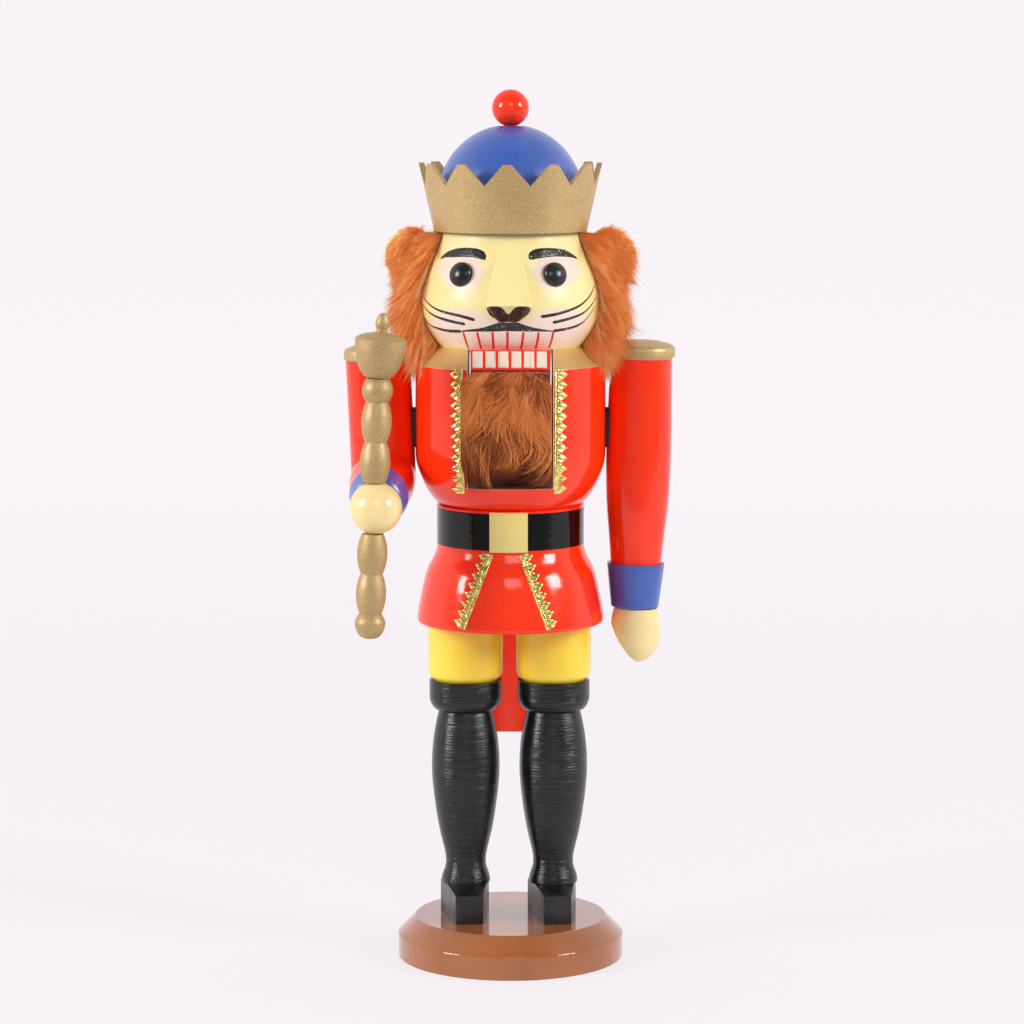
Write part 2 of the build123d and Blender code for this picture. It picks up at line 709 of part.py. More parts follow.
GRIP = FIST_CENTRE + Vector(SCEPTRE_OFFSET_X, 0, 0)
SCEPTRE = Plane(origin=GRIP, x_dir=(1, 0, 0), z_dir=Vector(0, 0, 1).rotate(Axis.Y, SCEPTRE_LEAN))
CUP_PLANE = Plane(SCEPTRE.location * Pos(0, 0, CUP_FROM) * Rot(0, CUP_EXTRA_LEAN, 0))


def right_fist():
    fist = Pos(*FIST_CENTRE) * Sphere(FIST_R)
    fist -= FOREARM_PLANE * rod(WRIST_DOWEL_R + FIT, 38, 50.5)
    fist -= SCEPTRE * rod(ROD_R + FIT, -20, 20)
    fist -= SCEPTRE * rod(BEAD_END_R + 0.1, SCEPTRE_BEAD_STARTS[1], SCEPTRE_BEAD_STARTS[1] + 10)
    below = SCEPTRE_BEAD_STARTS[2] + BEAD_LENGTH
    return fist - SCEPTRE * rod(BEAD_END_R + 0.1, below - 10, below)


# ---- sceptre -----------------------------------------------------------------------
def sceptre_bore():
    return rod(ROD_R + FIT, -100, 100)


def sceptre_bead(start):
    """A barrel bead, its wall one arc."""
    end = start + BEAD_LENGTH
    wall = ThreePointArc((BEAD_END_R, start), (BEAD_R, start + BEAD_LENGTH / 2), (BEAD_END_R, end))
    return SCEPTRE * (turned(wall) - sceptre_bore())


def sceptre_round_bead():
    """A short bead that stops clear of the tilted cup."""
    top = CUP_FROM - 0.3
    wall = Spline((4.7, ROUND_BEAD_FROM), (6.5, (ROUND_BEAD_FROM + top) / 2), (4.7, top))
    return SCEPTRE * (turned(wall) - sceptre_bore())


def sceptre_end_ball():
    top = SCEPTRE_BEAD_STARTS[-1]
    bottom = top - 10.7
    wall = Spline(
        (0.4, bottom),
        (4.9, bottom + 1.9),
        (6.45, bottom + 6.0),
        (4.7, top),
        tangents=((1, 0), (-0.7, 1)),
    )
    ball = turned(Line((0, bottom), (0.4, bottom)), wall)
    return SCEPTRE * (ball - rod(ROD_R + FIT, bottom + 3, top + 1))


def sceptre_rod():
    return SCEPTRE * rod(ROD_R, SCEPTRE_BEAD_STARTS[-1] - 7.0, CUP_FROM + 4.5)


def sceptre_cup():
    """A covered cup with a slightly domed lid."""
    wall = Spline(
        (5.0, 0),
        (7.3, 2.2),
        (9.2, 5.9),
        (10.3, 9.8),
        (10.95, 15.9),
        tangents=((1, 0.5), (0.05, 1)),
    )
    lid = Spline((10.95, 15.9), (10.5, 16.4), (6.0, 18.5), (2.4, 19.2))
    cup = turned(wall, lid)
    cup -= rod(ROD_R + 0.4, -1, 5.2)
    cup -= rod(1.5 + FIT, 14.5, 20)
    return CUP_PLANE * cup


def sceptre_finial():
    knob = turned(
        Line((2.3, 19.2), (2.3, 20.6)),
        Spline((2.3, 20.6), (2.95, 23.2), (1.9, 26.3), (0, 27.3), tangents=((0.6, 1), (-1, 0))),
    )
    knob += rod(1.5, 15.0, 19.5)
    return CUP_PLANE * knob


# ---- foil trim ---------------------------------------------------------------------
def lace_outline(start, end, side):
    """A strip in (X, Z) from its upper to its lower inner corner, toothed on the outer edge."""
    start = Vector(*start)
    end = Vector(*end)
    along = (end - start).normalized()
    out = Vector(-along.Y, along.X) * side
    teeth = max(1, round((end - start).length / LACE_PITCH))
    pitch = (end - start).length / teeth
    points = [start]
    for i in range(teeth):
        points.append(start + along * (i * pitch) + out * LACE_BAND)
        points.append(start + along * ((i + 0.5) * pitch) + out * (LACE_BAND + LACE_TOOTH))
    points.append(end + out * LACE_BAND)
    points.append(end)
    return [(p.X, p.Y) for p in points]


def lace(wall, start, end, side):
    """Thin foil that follows a turned surface, trimmed level at its upper end."""
    blank = turned(*wall)
    skin = offset(blank, LACE_THICK, kind=Kind.INTERSECTION) - blank
    strip = prism_y(lace_outline(start, end, side), -60, -5)
    strip &= Pos(0, 0, start[1] - 50) * Box(200, 200, 100)
    return (skin & strip).solids().sort_by(SortBy.VOLUME)[-1]


def chest_lace(side):
    top_x, bottom_x = (18.7, 18.4) if side > 0 else (-20.2, -19.6)
    return lace(torso_wall()[:2], (top_x, 261.6), (bottom_x, 209.0), side)


def skirt_lace(side):
    top_x, bottom_x = (3.1, 15.5) if side > 0 else (-7.0, -19.6)
    return lace(skirt_wall(), (top_x, BELT_BOTTOM_Z - BUCKLE_OVERHANG - 0.1), (bottom_x, 150.3), side)


# ---- the assembly ------------------------------------------------------------------
def build():
    parts["base_plate"] = base_plate()
    for name, side in (("left", 1), ("right", -1)):
        parts[f"{name}_shoe"] = shoe(side)
        parts[f"{name}_boot"] = boot(side)
        parts[f"{name}_leg_dowel"] = leg_dowel(side)
        parts[f"{name}_trouser_leg"] = trouser_leg(side)
        parts[f"{name}_eye"] = eye(side)
        parts[f"{name}_ear"] = ear(side)
        parts[f"{name}_chest_lace"] = chest_lace(side)
        parts[f"{name}_skirt_lace"] = skirt_lace(side)
    parts["skirt"] = skirt()
    parts["belt_band"] = belt_band()
    parts["belt_buckle"] = belt_buckle()
    parts["torso"] = torso()
    parts["pivot_pin"] = pivot_pin()
    parts["jaw_lever"] = jaw_lever()
    parts["beard"] = beard()
    parts["head"] = head()
    parts["head_dowels"] = head_dowels()
    parts["nose"] = nose()
    parts["mane"] = mane()
    parts["crown_ring"] = crown_ring()
    parts["crown_dowel"] = crown_dowel()
    parts["crown_dome"] = crown_dome()
    parts["crown_ball"] = crown_ball()
    parts["left_shoulder_cap"] = shoulder_cap(LEFT_ARM_X, LEFT_ARM_LEAN, LEFT_ARM_TOP_Z, LEFT_CAP_TOP_Z)
    parts["right_shoulder_cap"] = shoulder_cap(RIGHT_ARM_X, RIGHT_ARM_LEAN, RIGHT_ARM_TOP_Z, RIGHT_CAP_TOP_Z)
    parts["left_shoulder_dowel"] = shoulder_dowel(LEFT_ARM_X)
    parts["right_shoulder_dowel"] = shoulder_dowel(RIGHT_ARM_X)
    parts["left_shoulder_spacer"] = shoulder_spacer(LEFT_ARM_X, LEFT_ARM_LEAN, left_sleeve_blank())
    parts["right_shoulder_spacer"] = shoulder_spacer(RIGHT_ARM_X, RIGHT_ARM_LEAN, right_arm_blank())
    parts["left_sleeve"] = left_sleeve()
    parts["left_cuff"] = left_cuff()
    parts["left_hand"] = left_hand()
    parts["left_wrist_dowel"] = left_wrist_dowel()
    parts["right_upper_arm"] = right_upper_arm()
    parts["right_forearm"] = right_forearm()
    parts["right_elbow_dowel"] = right_elbow_dowel()
    parts["right_cuff"] = right_cuff()
    parts["right_fist"] = right_fist()
    for number, start in enumerate(SCEPTRE_BEAD_STARTS, 1):
        parts[f"sceptre_bead_{number}"] = sceptre_bead(start)
    parts["sceptre_round_bead"] = sceptre_round_bead()
    parts["sceptre_end_ball"] = sceptre_end_ball()
    parts["sceptre_rod"] = sceptre_rod()
    parts["sceptre_cup"] = sceptre_cup()
    parts["sceptre_finial"] = sceptre_finial()


build()
os.makedirs("parts", exist_ok=True)
for node, shape in parts.items():
    export_step(shape, f"parts/{node}.step")
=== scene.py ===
import math

import bpy
import numpy as np
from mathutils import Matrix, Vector
from mathutils.bvhtree import BVHTree


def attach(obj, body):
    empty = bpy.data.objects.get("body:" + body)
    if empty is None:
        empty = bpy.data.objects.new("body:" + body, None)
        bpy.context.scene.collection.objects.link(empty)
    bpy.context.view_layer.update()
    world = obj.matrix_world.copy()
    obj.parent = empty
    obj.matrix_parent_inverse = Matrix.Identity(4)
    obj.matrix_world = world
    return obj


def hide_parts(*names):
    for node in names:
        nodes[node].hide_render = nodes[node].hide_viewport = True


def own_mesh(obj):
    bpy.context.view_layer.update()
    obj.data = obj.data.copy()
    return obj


# The looks of a lacquered wooden nutcracker, a lion king with a sceptre. Blender works in
# metres in the CAD's own frame; shapes below are in millimetres and multiplied by MM.

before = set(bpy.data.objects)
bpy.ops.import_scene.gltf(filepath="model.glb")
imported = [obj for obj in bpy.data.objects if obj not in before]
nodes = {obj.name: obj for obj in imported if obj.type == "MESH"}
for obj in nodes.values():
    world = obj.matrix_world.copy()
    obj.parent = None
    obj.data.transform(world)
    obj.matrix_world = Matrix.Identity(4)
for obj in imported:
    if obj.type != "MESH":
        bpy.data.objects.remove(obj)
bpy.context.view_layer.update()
MM = 0.001
rng = np.random.default_rng(11)
SIDES = (("left", 1), ("right", -1))
QUICK_SHARE = 1.0

# heights and sizes of the CAD pieces that paint and fur have to meet, in millimetres
TORSO_TOP_Z = 269.8
TORSO_TOP_R = 31.0
TORSO_R = 41.9
SHOULDER_SLOPE = 0.75
GILDING_Z = 262.05
SLOT_HALF_W = 18.45
SLOT_FLOOR_Z = 210.9
LEVER_HALF_W = 16.93
LEVER_WOOD_END_Y = 37.0
CROWN_SEAM_Z = 319.35
CAP_X = 56.6
CAP_CLEAR_R = 15.6
CAP_CLEAR_Z = 273.2
EAR_X = 43.0
EAR_Z = 309.0
EAR_R = 11.5


# ---- camera, light and floor ---------------------------------------------------------
CAMERA_AT = (0.00065, -1.5453, 0.3893)
CAMERA_DOWN = 7.1  # degrees below level
FIGURE_MIDDLE_Z = 0.2


def make_camera():
    data = bpy.data.cameras.new("camera")
    data.lens = 125.5
    data.sensor_width = 36.0
    data.clip_end = 50.0
    camera = bpy.data.objects.new("camera", data)
    camera.location = CAMERA_AT
    camera.rotation_euler = (math.radians(90 - CAMERA_DOWN), 0, 0)
    bpy.context.scene.collection.objects.link(camera)
    bpy.context.scene.camera = camera


def softbox(name, direction, distance, size, power):
    """A rectangular area light that faces the figure's middle."""
    data = bpy.data.lights.new(name, "AREA")
    data.shape = "RECTANGLE"
    data.size, data.size_y = size
    data.energy = power
    light = bpy.data.objects.new(name, data)
    aim = Vector(direction).normalized()
    light.location = Vector((0, 0, FIGURE_MIDDLE_Z)) + aim * distance
    light.rotation_euler = aim.to_track_quat("Z", "Y").to_euler()
    bpy.context.scene.collection.objects.link(light)


def make_world():
    """A bright studio, dark on the camera's side of the room and dimmer overhead."""
    world = bpy.data.worlds.new("studio")
    bpy.context.scene.world = world
    world.use_nodes = True
    tree = world.node_tree
    tree.nodes.clear()
    way = node(tree, "ShaderNodeTexCoord").outputs["Generated"]
    split = parts_of(tree, way)
    ahead = ramp(tree, split["Y"], (-0.3, 0.15), (0.34, 1.0))
    over = ramp(tree, split["Z"], (0.3, 1.0), (1.0, 0.65))
    strength = times(tree, ahead, over)
    room = node(tree, "ShaderNodeBackground", {"Color": (0.98, 0.98, 1.0, 1), "Strength": strength})
    seen = node(tree, "ShaderNodeBackground", {"Color": (0.925, 0.905, 0.93, 1), "Strength": 1.0})
    ray = node(tree, "ShaderNodeLightPath").outputs["Is Camera Ray"]
    mixed = node(tree, "ShaderNodeMixShader", {0: ray, 1: room.outputs[0], 2: seen.outputs[0]})
    node(tree, "ShaderNodeOutputWorld", {"Surface": mixed.outputs[0]})


def make_floor():
    """A paper sweep: flat under the figure, rising well behind it."""
    half_width = 5.0
    bend_y, bend_r, bend_steps, top_z = 2.4, 0.9, 12, 3.0
    profile = [(-0.65, 0.0), (0.0, 0.0), (bend_y / 2, 0.0), (bend_y, 0.0)]
    for i in range(1, bend_steps + 1):
        angle = math.radians(90 * i / bend_steps)
        profile.append((bend_y + bend_r * math.sin(angle), bend_r * (1 - math.cos(angle))))
    profile.append((bend_y + bend_r, top_z))
    verts = [(x, y, z) for y, z in profile for x in (-half_width, half_width)]
    faces = [(2 * i, 2 * i + 1, 2 * i + 3, 2 * i + 2) for i in range(len(profile) - 1)]
    mesh = bpy.data.meshes.new("floor")
    mesh.from_pydata(verts, [], faces)
    mesh.polygons.foreach_set("use_smooth", [True] * len(faces))
    floor = bpy.data.objects.new("floor", mesh)
    bpy.context.scene.collection.objects.link(floor)
    paper = bpy.data.materials.new("floor_paper")
    paper.use_nodes = True
    tree = paper.node_tree
    bsdf = tree.nodes["Principled BSDF"]
    bsdf.inputs["Base Color"].default_value = (0.14, 0.135, 0.14, 1)
    bsdf.inputs["Emission Color"].default_value = (0.922, 0.875, 0.912, 1)
    where = node(tree, "ShaderNodeTexCoord").outputs["Object"]
    behind = parts_of(tree, where)["Y"]
    tree.links.new(ramp(tree, behind, (-0.2, 2.6), (0.83, 0.93)), bsdf.inputs["Emission Strength"])
    bsdf.inputs["Roughness"].default_value = 0.9
    bsdf.inputs["Specular IOR Level"].default_value = 0.1
    mesh.materials.append(paper)


# ---- shader helpers ------------------------------------------------------------------
def node(tree, kind, inputs=None, **settings):
    """A shader node with its settings, and its inputs set or linked."""
    made = tree.nodes.new(kind)
    for key, value in settings.items():
        setattr(made, key, value)
    for key, value in (inputs or {}).items():
        if isinstance(value, bpy.types.NodeSocket):
            tree.links.new(value, made.inputs[key])
        else:
            made.inputs[key].default_value = value
    return made


def ramp(tree, value, old, new):
    """value mapped smoothly from one range to another and held at its ends."""
    inputs = {"Value": value, "From Min": old[0], "From Max": old[1], "To Min": new[0], "To Max": new[1]}
    made = node(tree, "ShaderNodeMapRange", inputs, interpolation_type="SMOOTHSTEP")
    return made.outputs["Result"]


def blend_colour(tree, share, first, second):
    inputs = {"Fac": share, "Color1": first, "Color2": second}
    return node(tree, "ShaderNodeMixRGB", inputs).outputs["Color"]


def math_node(tree, operation, a, b):
    return node(tree, "ShaderNodeMath", {0: a, 1: b}, operation=operation).outputs[0]


def times(tree, a, b):
    return math_node(tree, "MULTIPLY", a, b)


def vector_node(tree, operation, vector, other=(0, 0, 0)):
    return node(tree, "ShaderNodeVectorMath", {0: vector, 1: other}, operation=operation).outputs


def parts_of(tree, vector):
    """The X, Y and Z of a vector."""
    return node(tree, "ShaderNodeSeparateXYZ", {0: vector}).outputs


def noise(tree, where, scale, detail=3.0, stretch=None):
    """Fractal noise; stretch squeezes or draws out each axis."""
    if stretch:
        where = node(tree, "ShaderNodeMapping", {"Vector": where, "Scale": stretch}).outputs[0]
    made = node(tree, "ShaderNodeTexNoise", {"Vector": where, "Scale": scale, "Detail": detail})
    return made.outputs["Fac"]


def share_of(tree, value, low, high):
    """0 below low, 1 above high, and smooth between."""
    return ramp(tree, value, (low, high), (0.0, 1.0))


def soft_patches(tree, where, scale=38.0):
    """Where the second of a paint's two tones shows."""
    return share_of(tree, noise(tree, where, scale), 0.35, 0.75)


def srgb(red, green, blue):
    """A display colour from 0 to 255 as linear light."""
    linear = []
    for value in (red, green, blue):
        c = value / 255
        linear.append(c / 12.92 if c <= 0.04045 else ((c + 0.055) / 1.055) ** 2.4)
    return (*linear, 1.0)


def start_material(name):
    material = bpy.data.materials.new(name)
    material.use_nodes = True
    tree = material.node_tree
    where = node(tree, "ShaderNodeTexCoord").outputs["Object"]
    return material, tree, tree.nodes["Principled BSDF"], where


def finish_surface(tree, bsdf, where, colour, rough, peel, rings=0.0):
    """Roughness that wanders, a lacquer's fine waviness, and the lathe's rings under it."""
    tree.links.new(colour, bsdf.inputs["Base Color"])
    patchy = noise(tree, where, 130.0)
    tree.links.new(ramp(tree, patchy, (0.3, 0.7), rough), bsdf.inputs["Roughness"])
    height = times(tree, noise(tree, where, 420.0, 2.0), peel)
    if rings:
        turned = noise(tree, where, 60.0, 4.0, (0.2, 0.2, 30.0))
        height = math_node(tree, "ADD", height, times(tree, turned, rings))
    bump = node(tree, "ShaderNodeBump", {"Height": height, "Strength": 1.0, "Distance": MM})
    tree.links.new(bump.outputs["Normal"], bsdf.inputs["Normal"])


def lacquer(
    name, colour, shade, rough, *, peel=0.04, rings=0.0, streaks=0.0, flakes=0.0, seam_shadow_z=0.0,
    metallic=0.0, coat=0.0, coat_rough=0.06, gloss=0.5,
):
    """Paint on turned wood: two near tones in soft patches and fine turning lines.

    peel and rings raise the surface; streaks run round the piece; flakes adds pale and dark
    specks; seam_shadow_z is the height of a seam with a dark line painted just below it, partly
    painted shadow under the seam's edge and partly the bare edge where the paint stops; gloss is
    the strength of the reflection."""
    material, tree, bsdf, where = start_material(name)
    share = soft_patches(tree, where)
    if streaks:
        lines = noise(tree, where, 60.0, 4.0, (0.3, 0.3, 26.0))
        lines = times(tree, share_of(tree, lines, 0.4, 0.7), streaks)
        share = math_node(tree, "MAXIMUM", times(tree, share, 0.5), lines)
    mixed = blend_colour(tree, share, colour, shade)
    if flakes:
        specks = ramp(tree, noise(tree, where, 1700.0, 2.0), (0.54, 0.66), (0.0, flakes))
        mixed = blend_colour(tree, specks, mixed, PALE_FLAKE)
        pits = ramp(tree, noise(tree, where, 1300.0, 2.0), (0.3, 0.4), (flakes, 0.0))
        mixed = blend_colour(tree, pits, mixed, DARK_FLAKE)
    # a dark line just below the seam: painted shadow under the seam's edge, with the bare edge where the
    # paint stops
    if seam_shadow_z:
        half = 0.12
        height = parts_of(tree, where)["Z"]
        line = ramp(tree, height, ((seam_shadow_z - half) * MM, (seam_shadow_z + half) * MM), (0.8, 0.0))
        mixed = blend_colour(tree, line, mixed, SEAM_SHADOW_AND_BARE_EDGE)
    finish_surface(tree, bsdf, where, mixed, rough, peel, rings)
    bsdf.inputs["Metallic"].default_value = metallic
    bsdf.inputs["Coat Weight"].default_value = coat
    bsdf.inputs["Coat Roughness"].default_value = coat_rough
    bsdf.inputs["Specular IOR Level"].default_value = gloss
    return material


def wood_colour(tree, where, pale, dark):
    """Long grain along Z."""
    grain = noise(tree, where, 90.0, 5.0, (6.0, 6.0, 0.45))
    return blend_colour(tree, share_of(tree, grain, 0.35, 0.7), pale, dark)


def bare_wood():
    material, tree, bsdf, where = start_material("bare_wood")
    colour = wood_colour(tree, where, WOOD, WOOD_GRAIN)
    finish_surface(tree, bsdf, where, colour, (0.55, 0.75), 0.05)
    return material


def outside_mask(tree, value, edge):
    """1 where value is farther from zero than edge, with a hair's width of softness."""
    soft = 0.03 * MM
    return share_of(tree, math_node(tree, "ABSOLUTE", value, 0.0), edge - soft, edge + soft)


def coat_and_gold():
    """The torso: red, with the sloped shoulder gilded and the sawn slot left bare."""
    material, tree, bsdf, where = start_material("coat_red_gilded")
    place = parts_of(tree, where)
    patches = soft_patches(tree, where)
    coat = blend_colour(tree, patches, RED, RED_SHADE)
    gilding = blend_colour(tree, patches, srgb(222, 186, 126), srgb(206, 166, 104))
    wobble = times(tree, noise(tree, where, 160.0, 1.0), 0.5 * MM)
    line = math_node(tree, "ADD", place["Z"], wobble)
    gilded = share_of(tree, line, GILDING_Z * MM, (GILDING_Z + 0.2) * MM)
    colour = blend_colour(tree, gilded, coat, gilding)
    bare = wood_colour(tree, where, srgb(232, 214, 186), srgb(206, 180, 142))
    inside = math_node(tree, "SUBTRACT", 1.0, outside_mask(tree, place["X"], SLOT_HALF_W * MM))
    above = share_of(tree, place["Z"], SLOT_FLOOR_Z * MM, (SLOT_FLOOR_Z + 0.08) * MM)
    slot = times(tree, inside, above)
    colour = blend_colour(tree, slot, colour, bare)
    finish_surface(tree, bsdf, where, colour, (0.1, 0.17), 0.035)
    matt = math_node(tree, "MAXIMUM", slot, gilded)
    tree.links.new(ramp(tree, matt, (0.0, 1.0), (0.13, 0.42)), bsdf.inputs["Roughness"])
    metal = times(tree, math_node(tree, "SUBTRACT", gilded, slot), 0.35)
    tree.links.new(metal, bsdf.inputs["Metallic"])
    return material


def lever_paint():
    """The jaw lever: red, with bare wood on the sides that run in the slot."""
    material, tree, bsdf, where = start_material("lever_red")
    place = parts_of(tree, where)
    coat = blend_colour(tree, soft_patches(tree, where), RED, RED_SHADE)
    bare = wood_colour(tree, where, WOOD, WOOD_GRAIN)
    sides = outside_mask(tree, place["X"], LEVER_HALF_W * MM)
    ahead = ramp(tree, place["Y"], (LEVER_WOOD_END_Y * MM, (LEVER_WOOD_END_Y + 0.4) * MM), (1.0, 0.0))
    colour = blend_colour(tree, times(tree, sides, ahead), coat, bare)
    finish_surface(tree, bsdf, where, colour, (0.14, 0.24), 0.04)
    return material


def patch_mask(tree, where, centre, size, soft):
    """1 inside an ellipse on the front of the face, fading out at its edge."""
    across = vector_node(tree, "SUBTRACT", where, tuple(c * MM for c in centre))[0]
    scaled = vector_node(tree, "MULTIPLY", across, tuple(1 / (s * MM) for s in size))[0]
    far = vector_node(tree, "LENGTH", scaled)["Value"]
    return ramp(tree, far, soft, (1.0, 0.0))


def face_paint():
    """Pale yellow with airbrushed pinkish white round the eyes and on the muzzle.

    The upper teeth stand on a panel of one cream, wider at its top than at its bottom."""
    material, tree, bsdf, where = start_material("face_cream")
    colour = blend_colour(tree, soft_patches(tree, where, 45.0), CREAM, CREAM_SHADE)
    far = 500.0  # so long that the ellipses take no notice of depth
    for side in (-1, 1):
        eye = patch_mask(tree, where, (side * 20.2 - 0.7, -26.0, 303.4), (10.4, far, 7.4), (0.84, 1.08))
        low = patch_mask(tree, where, (side * 19.0, -26.0, 298.0), (7.0, far, 4.6), (0.4, 1.15))
        eye = math_node(tree, "MAXIMUM", eye, times(tree, low, 0.7))
        colour = blend_colour(tree, eye, colour, PINK)
        muzzle = patch_mask(tree, where, (side * 20.5, -30.0, 279.5), (15.5, far, 9.5), (0.7, 1.05))
        colour = blend_colour(tree, muzzle, colour, PINK)
    mouth = patch_mask(tree, where, (0.0, -36.0, 276.5), (24.0, far, 7.5), (0.8, 1.05))
    colour = blend_colour(tree, mouth, colour, PINK)
    place = parts_of(tree, where)
    panel_x, panel_half_w, panel_low_z, panel_top_z, widening = -0.9, 17.4, 271.0, 277.9, 0.27
    off_centre = math_node(tree, "ABSOLUTE", math_node(tree, "SUBTRACT", place["X"], panel_x * MM), 0.0)
    wider = times(tree, math_node(tree, "SUBTRACT", place["Z"], panel_low_z * MM), widening)
    across = math_node(tree, "SUBTRACT", off_centre, wider)
    beside = ramp(tree, across, (panel_half_w * MM, (panel_half_w + 0.3) * MM), (1.0, 0.0))
    below = ramp(tree, place["Z"], (panel_top_z * MM, (panel_top_z + 0.3) * MM), (1.0, 0.0))
    ahead = ramp(tree, place["Y"], (-2.0 * MM, 0.0), (1.0, 0.0))
    panel = times(tree, times(tree, beside, below), ahead)
    colour = blend_colour(tree, panel, colour, srgb(240, 222, 204))
    finish_surface(tree, bsdf, where, colour, (0.34, 0.46), 0.03)
    bsdf.inputs["Coat Weight"].default_value = 0.12
    bsdf.inputs["Coat Roughness"].default_value = 0.25
    return material


def brush_black():
    """Hand-painted black with a few pale nicks where it has chipped."""
    material, tree, bsdf, where = start_material("brush_black")
    chips = noise(tree, where, 1500.0, 4.0, (0.5, 0.5, 1.4))
    worn = ramp(tree, noise(tree, where, 160.0, 2.0), (0.5, 0.66), (0.0, 0.06))
    chipped = share_of(tree, math_node(tree, "ADD", chips, worn), 0.67, 0.7)
    tone = blend_colour(tree, noise(tree, where, 300.0), srgb(18, 16, 20), srgb(40, 36, 40))
    colour = blend_colour(tree, chipped, tone, srgb(220, 212, 206))
    finish_surface(tree, bsdf, where, colour, (0.16, 0.34), 0.16)
    return material


def nose_black():
    """Black with brown streaks painted in as sheen: a painted reflection on the glossy paint."""
    material, tree, bsdf, where = start_material("nose_black")
    # brown streaks on the black are painted sheen, a painted reflection
    painted_sheen = share_of(tree, noise(tree, where, 650.0, 5.0), 0.54, 0.72)
    colour = blend_colour(tree, painted_sheen, srgb(18, 14, 16), srgb(122, 98, 74))
    finish_surface(tree, bsdf, where, colour, (0.3, 0.5), 0.08)
    return material


def tooth_paint(name, colour, shade):
    """Paint with hairline crazing along the wood's grain."""
    material, tree, bsdf, where = start_material(name)
    lines = noise(tree, where, 700.0, 3.0, (2.0, 1.0, 0.06))
    mixed = blend_colour(tree, share_of(tree, lines, 0.56, 0.66), colour, shade)
    finish_surface(tree, bsdf, where, mixed, (0.35, 0.5), 0.05)
    return material


def foil():
    """Stamped gold foil on paper."""
    material, tree, bsdf, where = start_material("foil_gold")
    tone = share_of(tree, noise(tree, where, 500.0, 3.0), 0.35, 0.7)
    colour = blend_colour(tree, tone, srgb(252, 232, 150), srgb(206, 168, 74))
    finish_surface(tree, bsdf, where, colour, (0.1, 0.24), 0.16)
    bsdf.inputs["Metallic"].default_value = 0.95
    return material


def cloth_backing(name, colour, shade):
    """The woven back of pile fabric, its threads about half a millimetre apart."""
    material, tree, bsdf, where = start_material(name)
    weave = noise(tree, where, 1900.0, 1.0)
    mixed = blend_colour(tree, share_of(tree, weave, 0.4, 0.62), colour, shade)
    finish_surface(tree, bsdf, where, mixed, (0.8, 0.95), 0.3)
    return material


def hair_tones(name, tones, sheen, painted_glow):
    """Dyed acrylic pile: one material for each tone, told apart strand by strand.

    painted_glow is painted light: a faint orange emission that stands for the light coming through fine
    strands and brightens the fur."""
    made = []
    for i, tone in enumerate(tones, 1):
        material = bpy.data.materials.new(f"{name}_{i}")
        material.use_nodes = True
        bsdf = material.node_tree.nodes["Principled BSDF"]
        bsdf.inputs["Base Color"].default_value = tone
        bsdf.inputs["Roughness"].default_value = 0.5
        bsdf.inputs["Specular IOR Level"].default_value = 0.35
        bsdf.inputs["Sheen Weight"].default_value = sheen
        bsdf.inputs["Sheen Roughness"].default_value = 0.4
        bsdf.inputs["Sheen Tint"].default_value = (1.0, 0.5, 0.22, 1)
        # painted glow: the fur gives off a little orange light of its own
        bsdf.inputs["Emission Color"].default_value = (1.0, 0.38, 0.11, 1)
        bsdf.inputs["Emission Strength"].default_value = painted_glow
        made.append(material)
    return made


RED = srgb(255, 55, 14)
RED_SHADE = srgb(242, 44, 10)
GOLD = srgb(204, 172, 118)
GOLD_SHADE = srgb(184, 152, 98)
CREAM = srgb(246, 230, 164)
CREAM_SHADE = srgb(242, 220, 146)
PINK = srgb(242, 218, 202)
WOOD = srgb(226, 204, 168)
WOOD_GRAIN = srgb(196, 166, 122)
PALE_FLAKE = srgb(255, 240, 205)
DARK_FLAKE = srgb(96, 78, 50)
# the dark line under the crown's seam: painted shadow, with the bare edge where the paint stops
SEAM_SHADOW_AND_BARE_EDGE = srgb(70, 52, 34)

BRONZE_PAINT = {"peel": 0.1, "rings": 0.06, "streaks": 0.2}
CROWN_PAINT = {"metallic": 0.6, "flakes": 0.3, **BRONZE_PAINT}
gold = lacquer("crown_gold", GOLD, GOLD_SHADE, (0.38, 0.5), **CROWN_PAINT)
# the ring's bottom seam gets a dark line that is partly painted shadow
crown_gold = lacquer(
    "crown_gold_ring", GOLD, GOLD_SHADE, (0.38, 0.5), seam_shadow_z=CROWN_SEAM_Z, **CROWN_PAINT
)
sceptre_gold = lacquer(
    "sceptre_gold", srgb(188, 158, 108), srgb(168, 138, 90), (0.46, 0.6),
    metallic=0.5, flakes=0.2, **BRONZE_PAINT,
)
red = lacquer("coat_red", RED, RED_SHADE, (0.08, 0.15), peel=0.055)
blue = lacquer(
    "royal_blue", srgb(50, 90, 178), srgb(40, 74, 164), (0.3, 0.42),
    coat=0.7, coat_rough=0.34, peel=0.06, flakes=0.05,
)
black = lacquer("boot_black", srgb(10, 10, 11), srgb(24, 23, 25), (0.14, 0.28), peel=0.05, rings=0.34)
shoe_black = lacquer("shoe_black", srgb(16, 15, 16), srgb(40, 36, 38), (0.24, 0.4), peel=0.14)
belt_black = lacquer("belt_black", srgb(6, 6, 7), srgb(12, 11, 12), (0.05, 0.1), peel=0.05, gloss=0.35)
yellow = lacquer(
    "trouser_yellow", srgb(248, 218, 70), srgb(242, 206, 58), (0.28, 0.4),
    coat=0.3, peel=0.04, rings=0.04,
)
hand_cream = lacquer(
    "hand_cream", srgb(246, 224, 162), srgb(238, 208, 140), (0.2, 0.32), coat=0.3, peel=0.04
)
brown = lacquer("base_brown", srgb(164, 96, 48), srgb(150, 84, 36), (0.08, 0.14), coat=0.7, peel=0.03)
buckle_cream = lacquer("buckle_cream", srgb(236, 216, 134), srgb(228, 202, 116), (0.4, 0.55), peel=0.05)
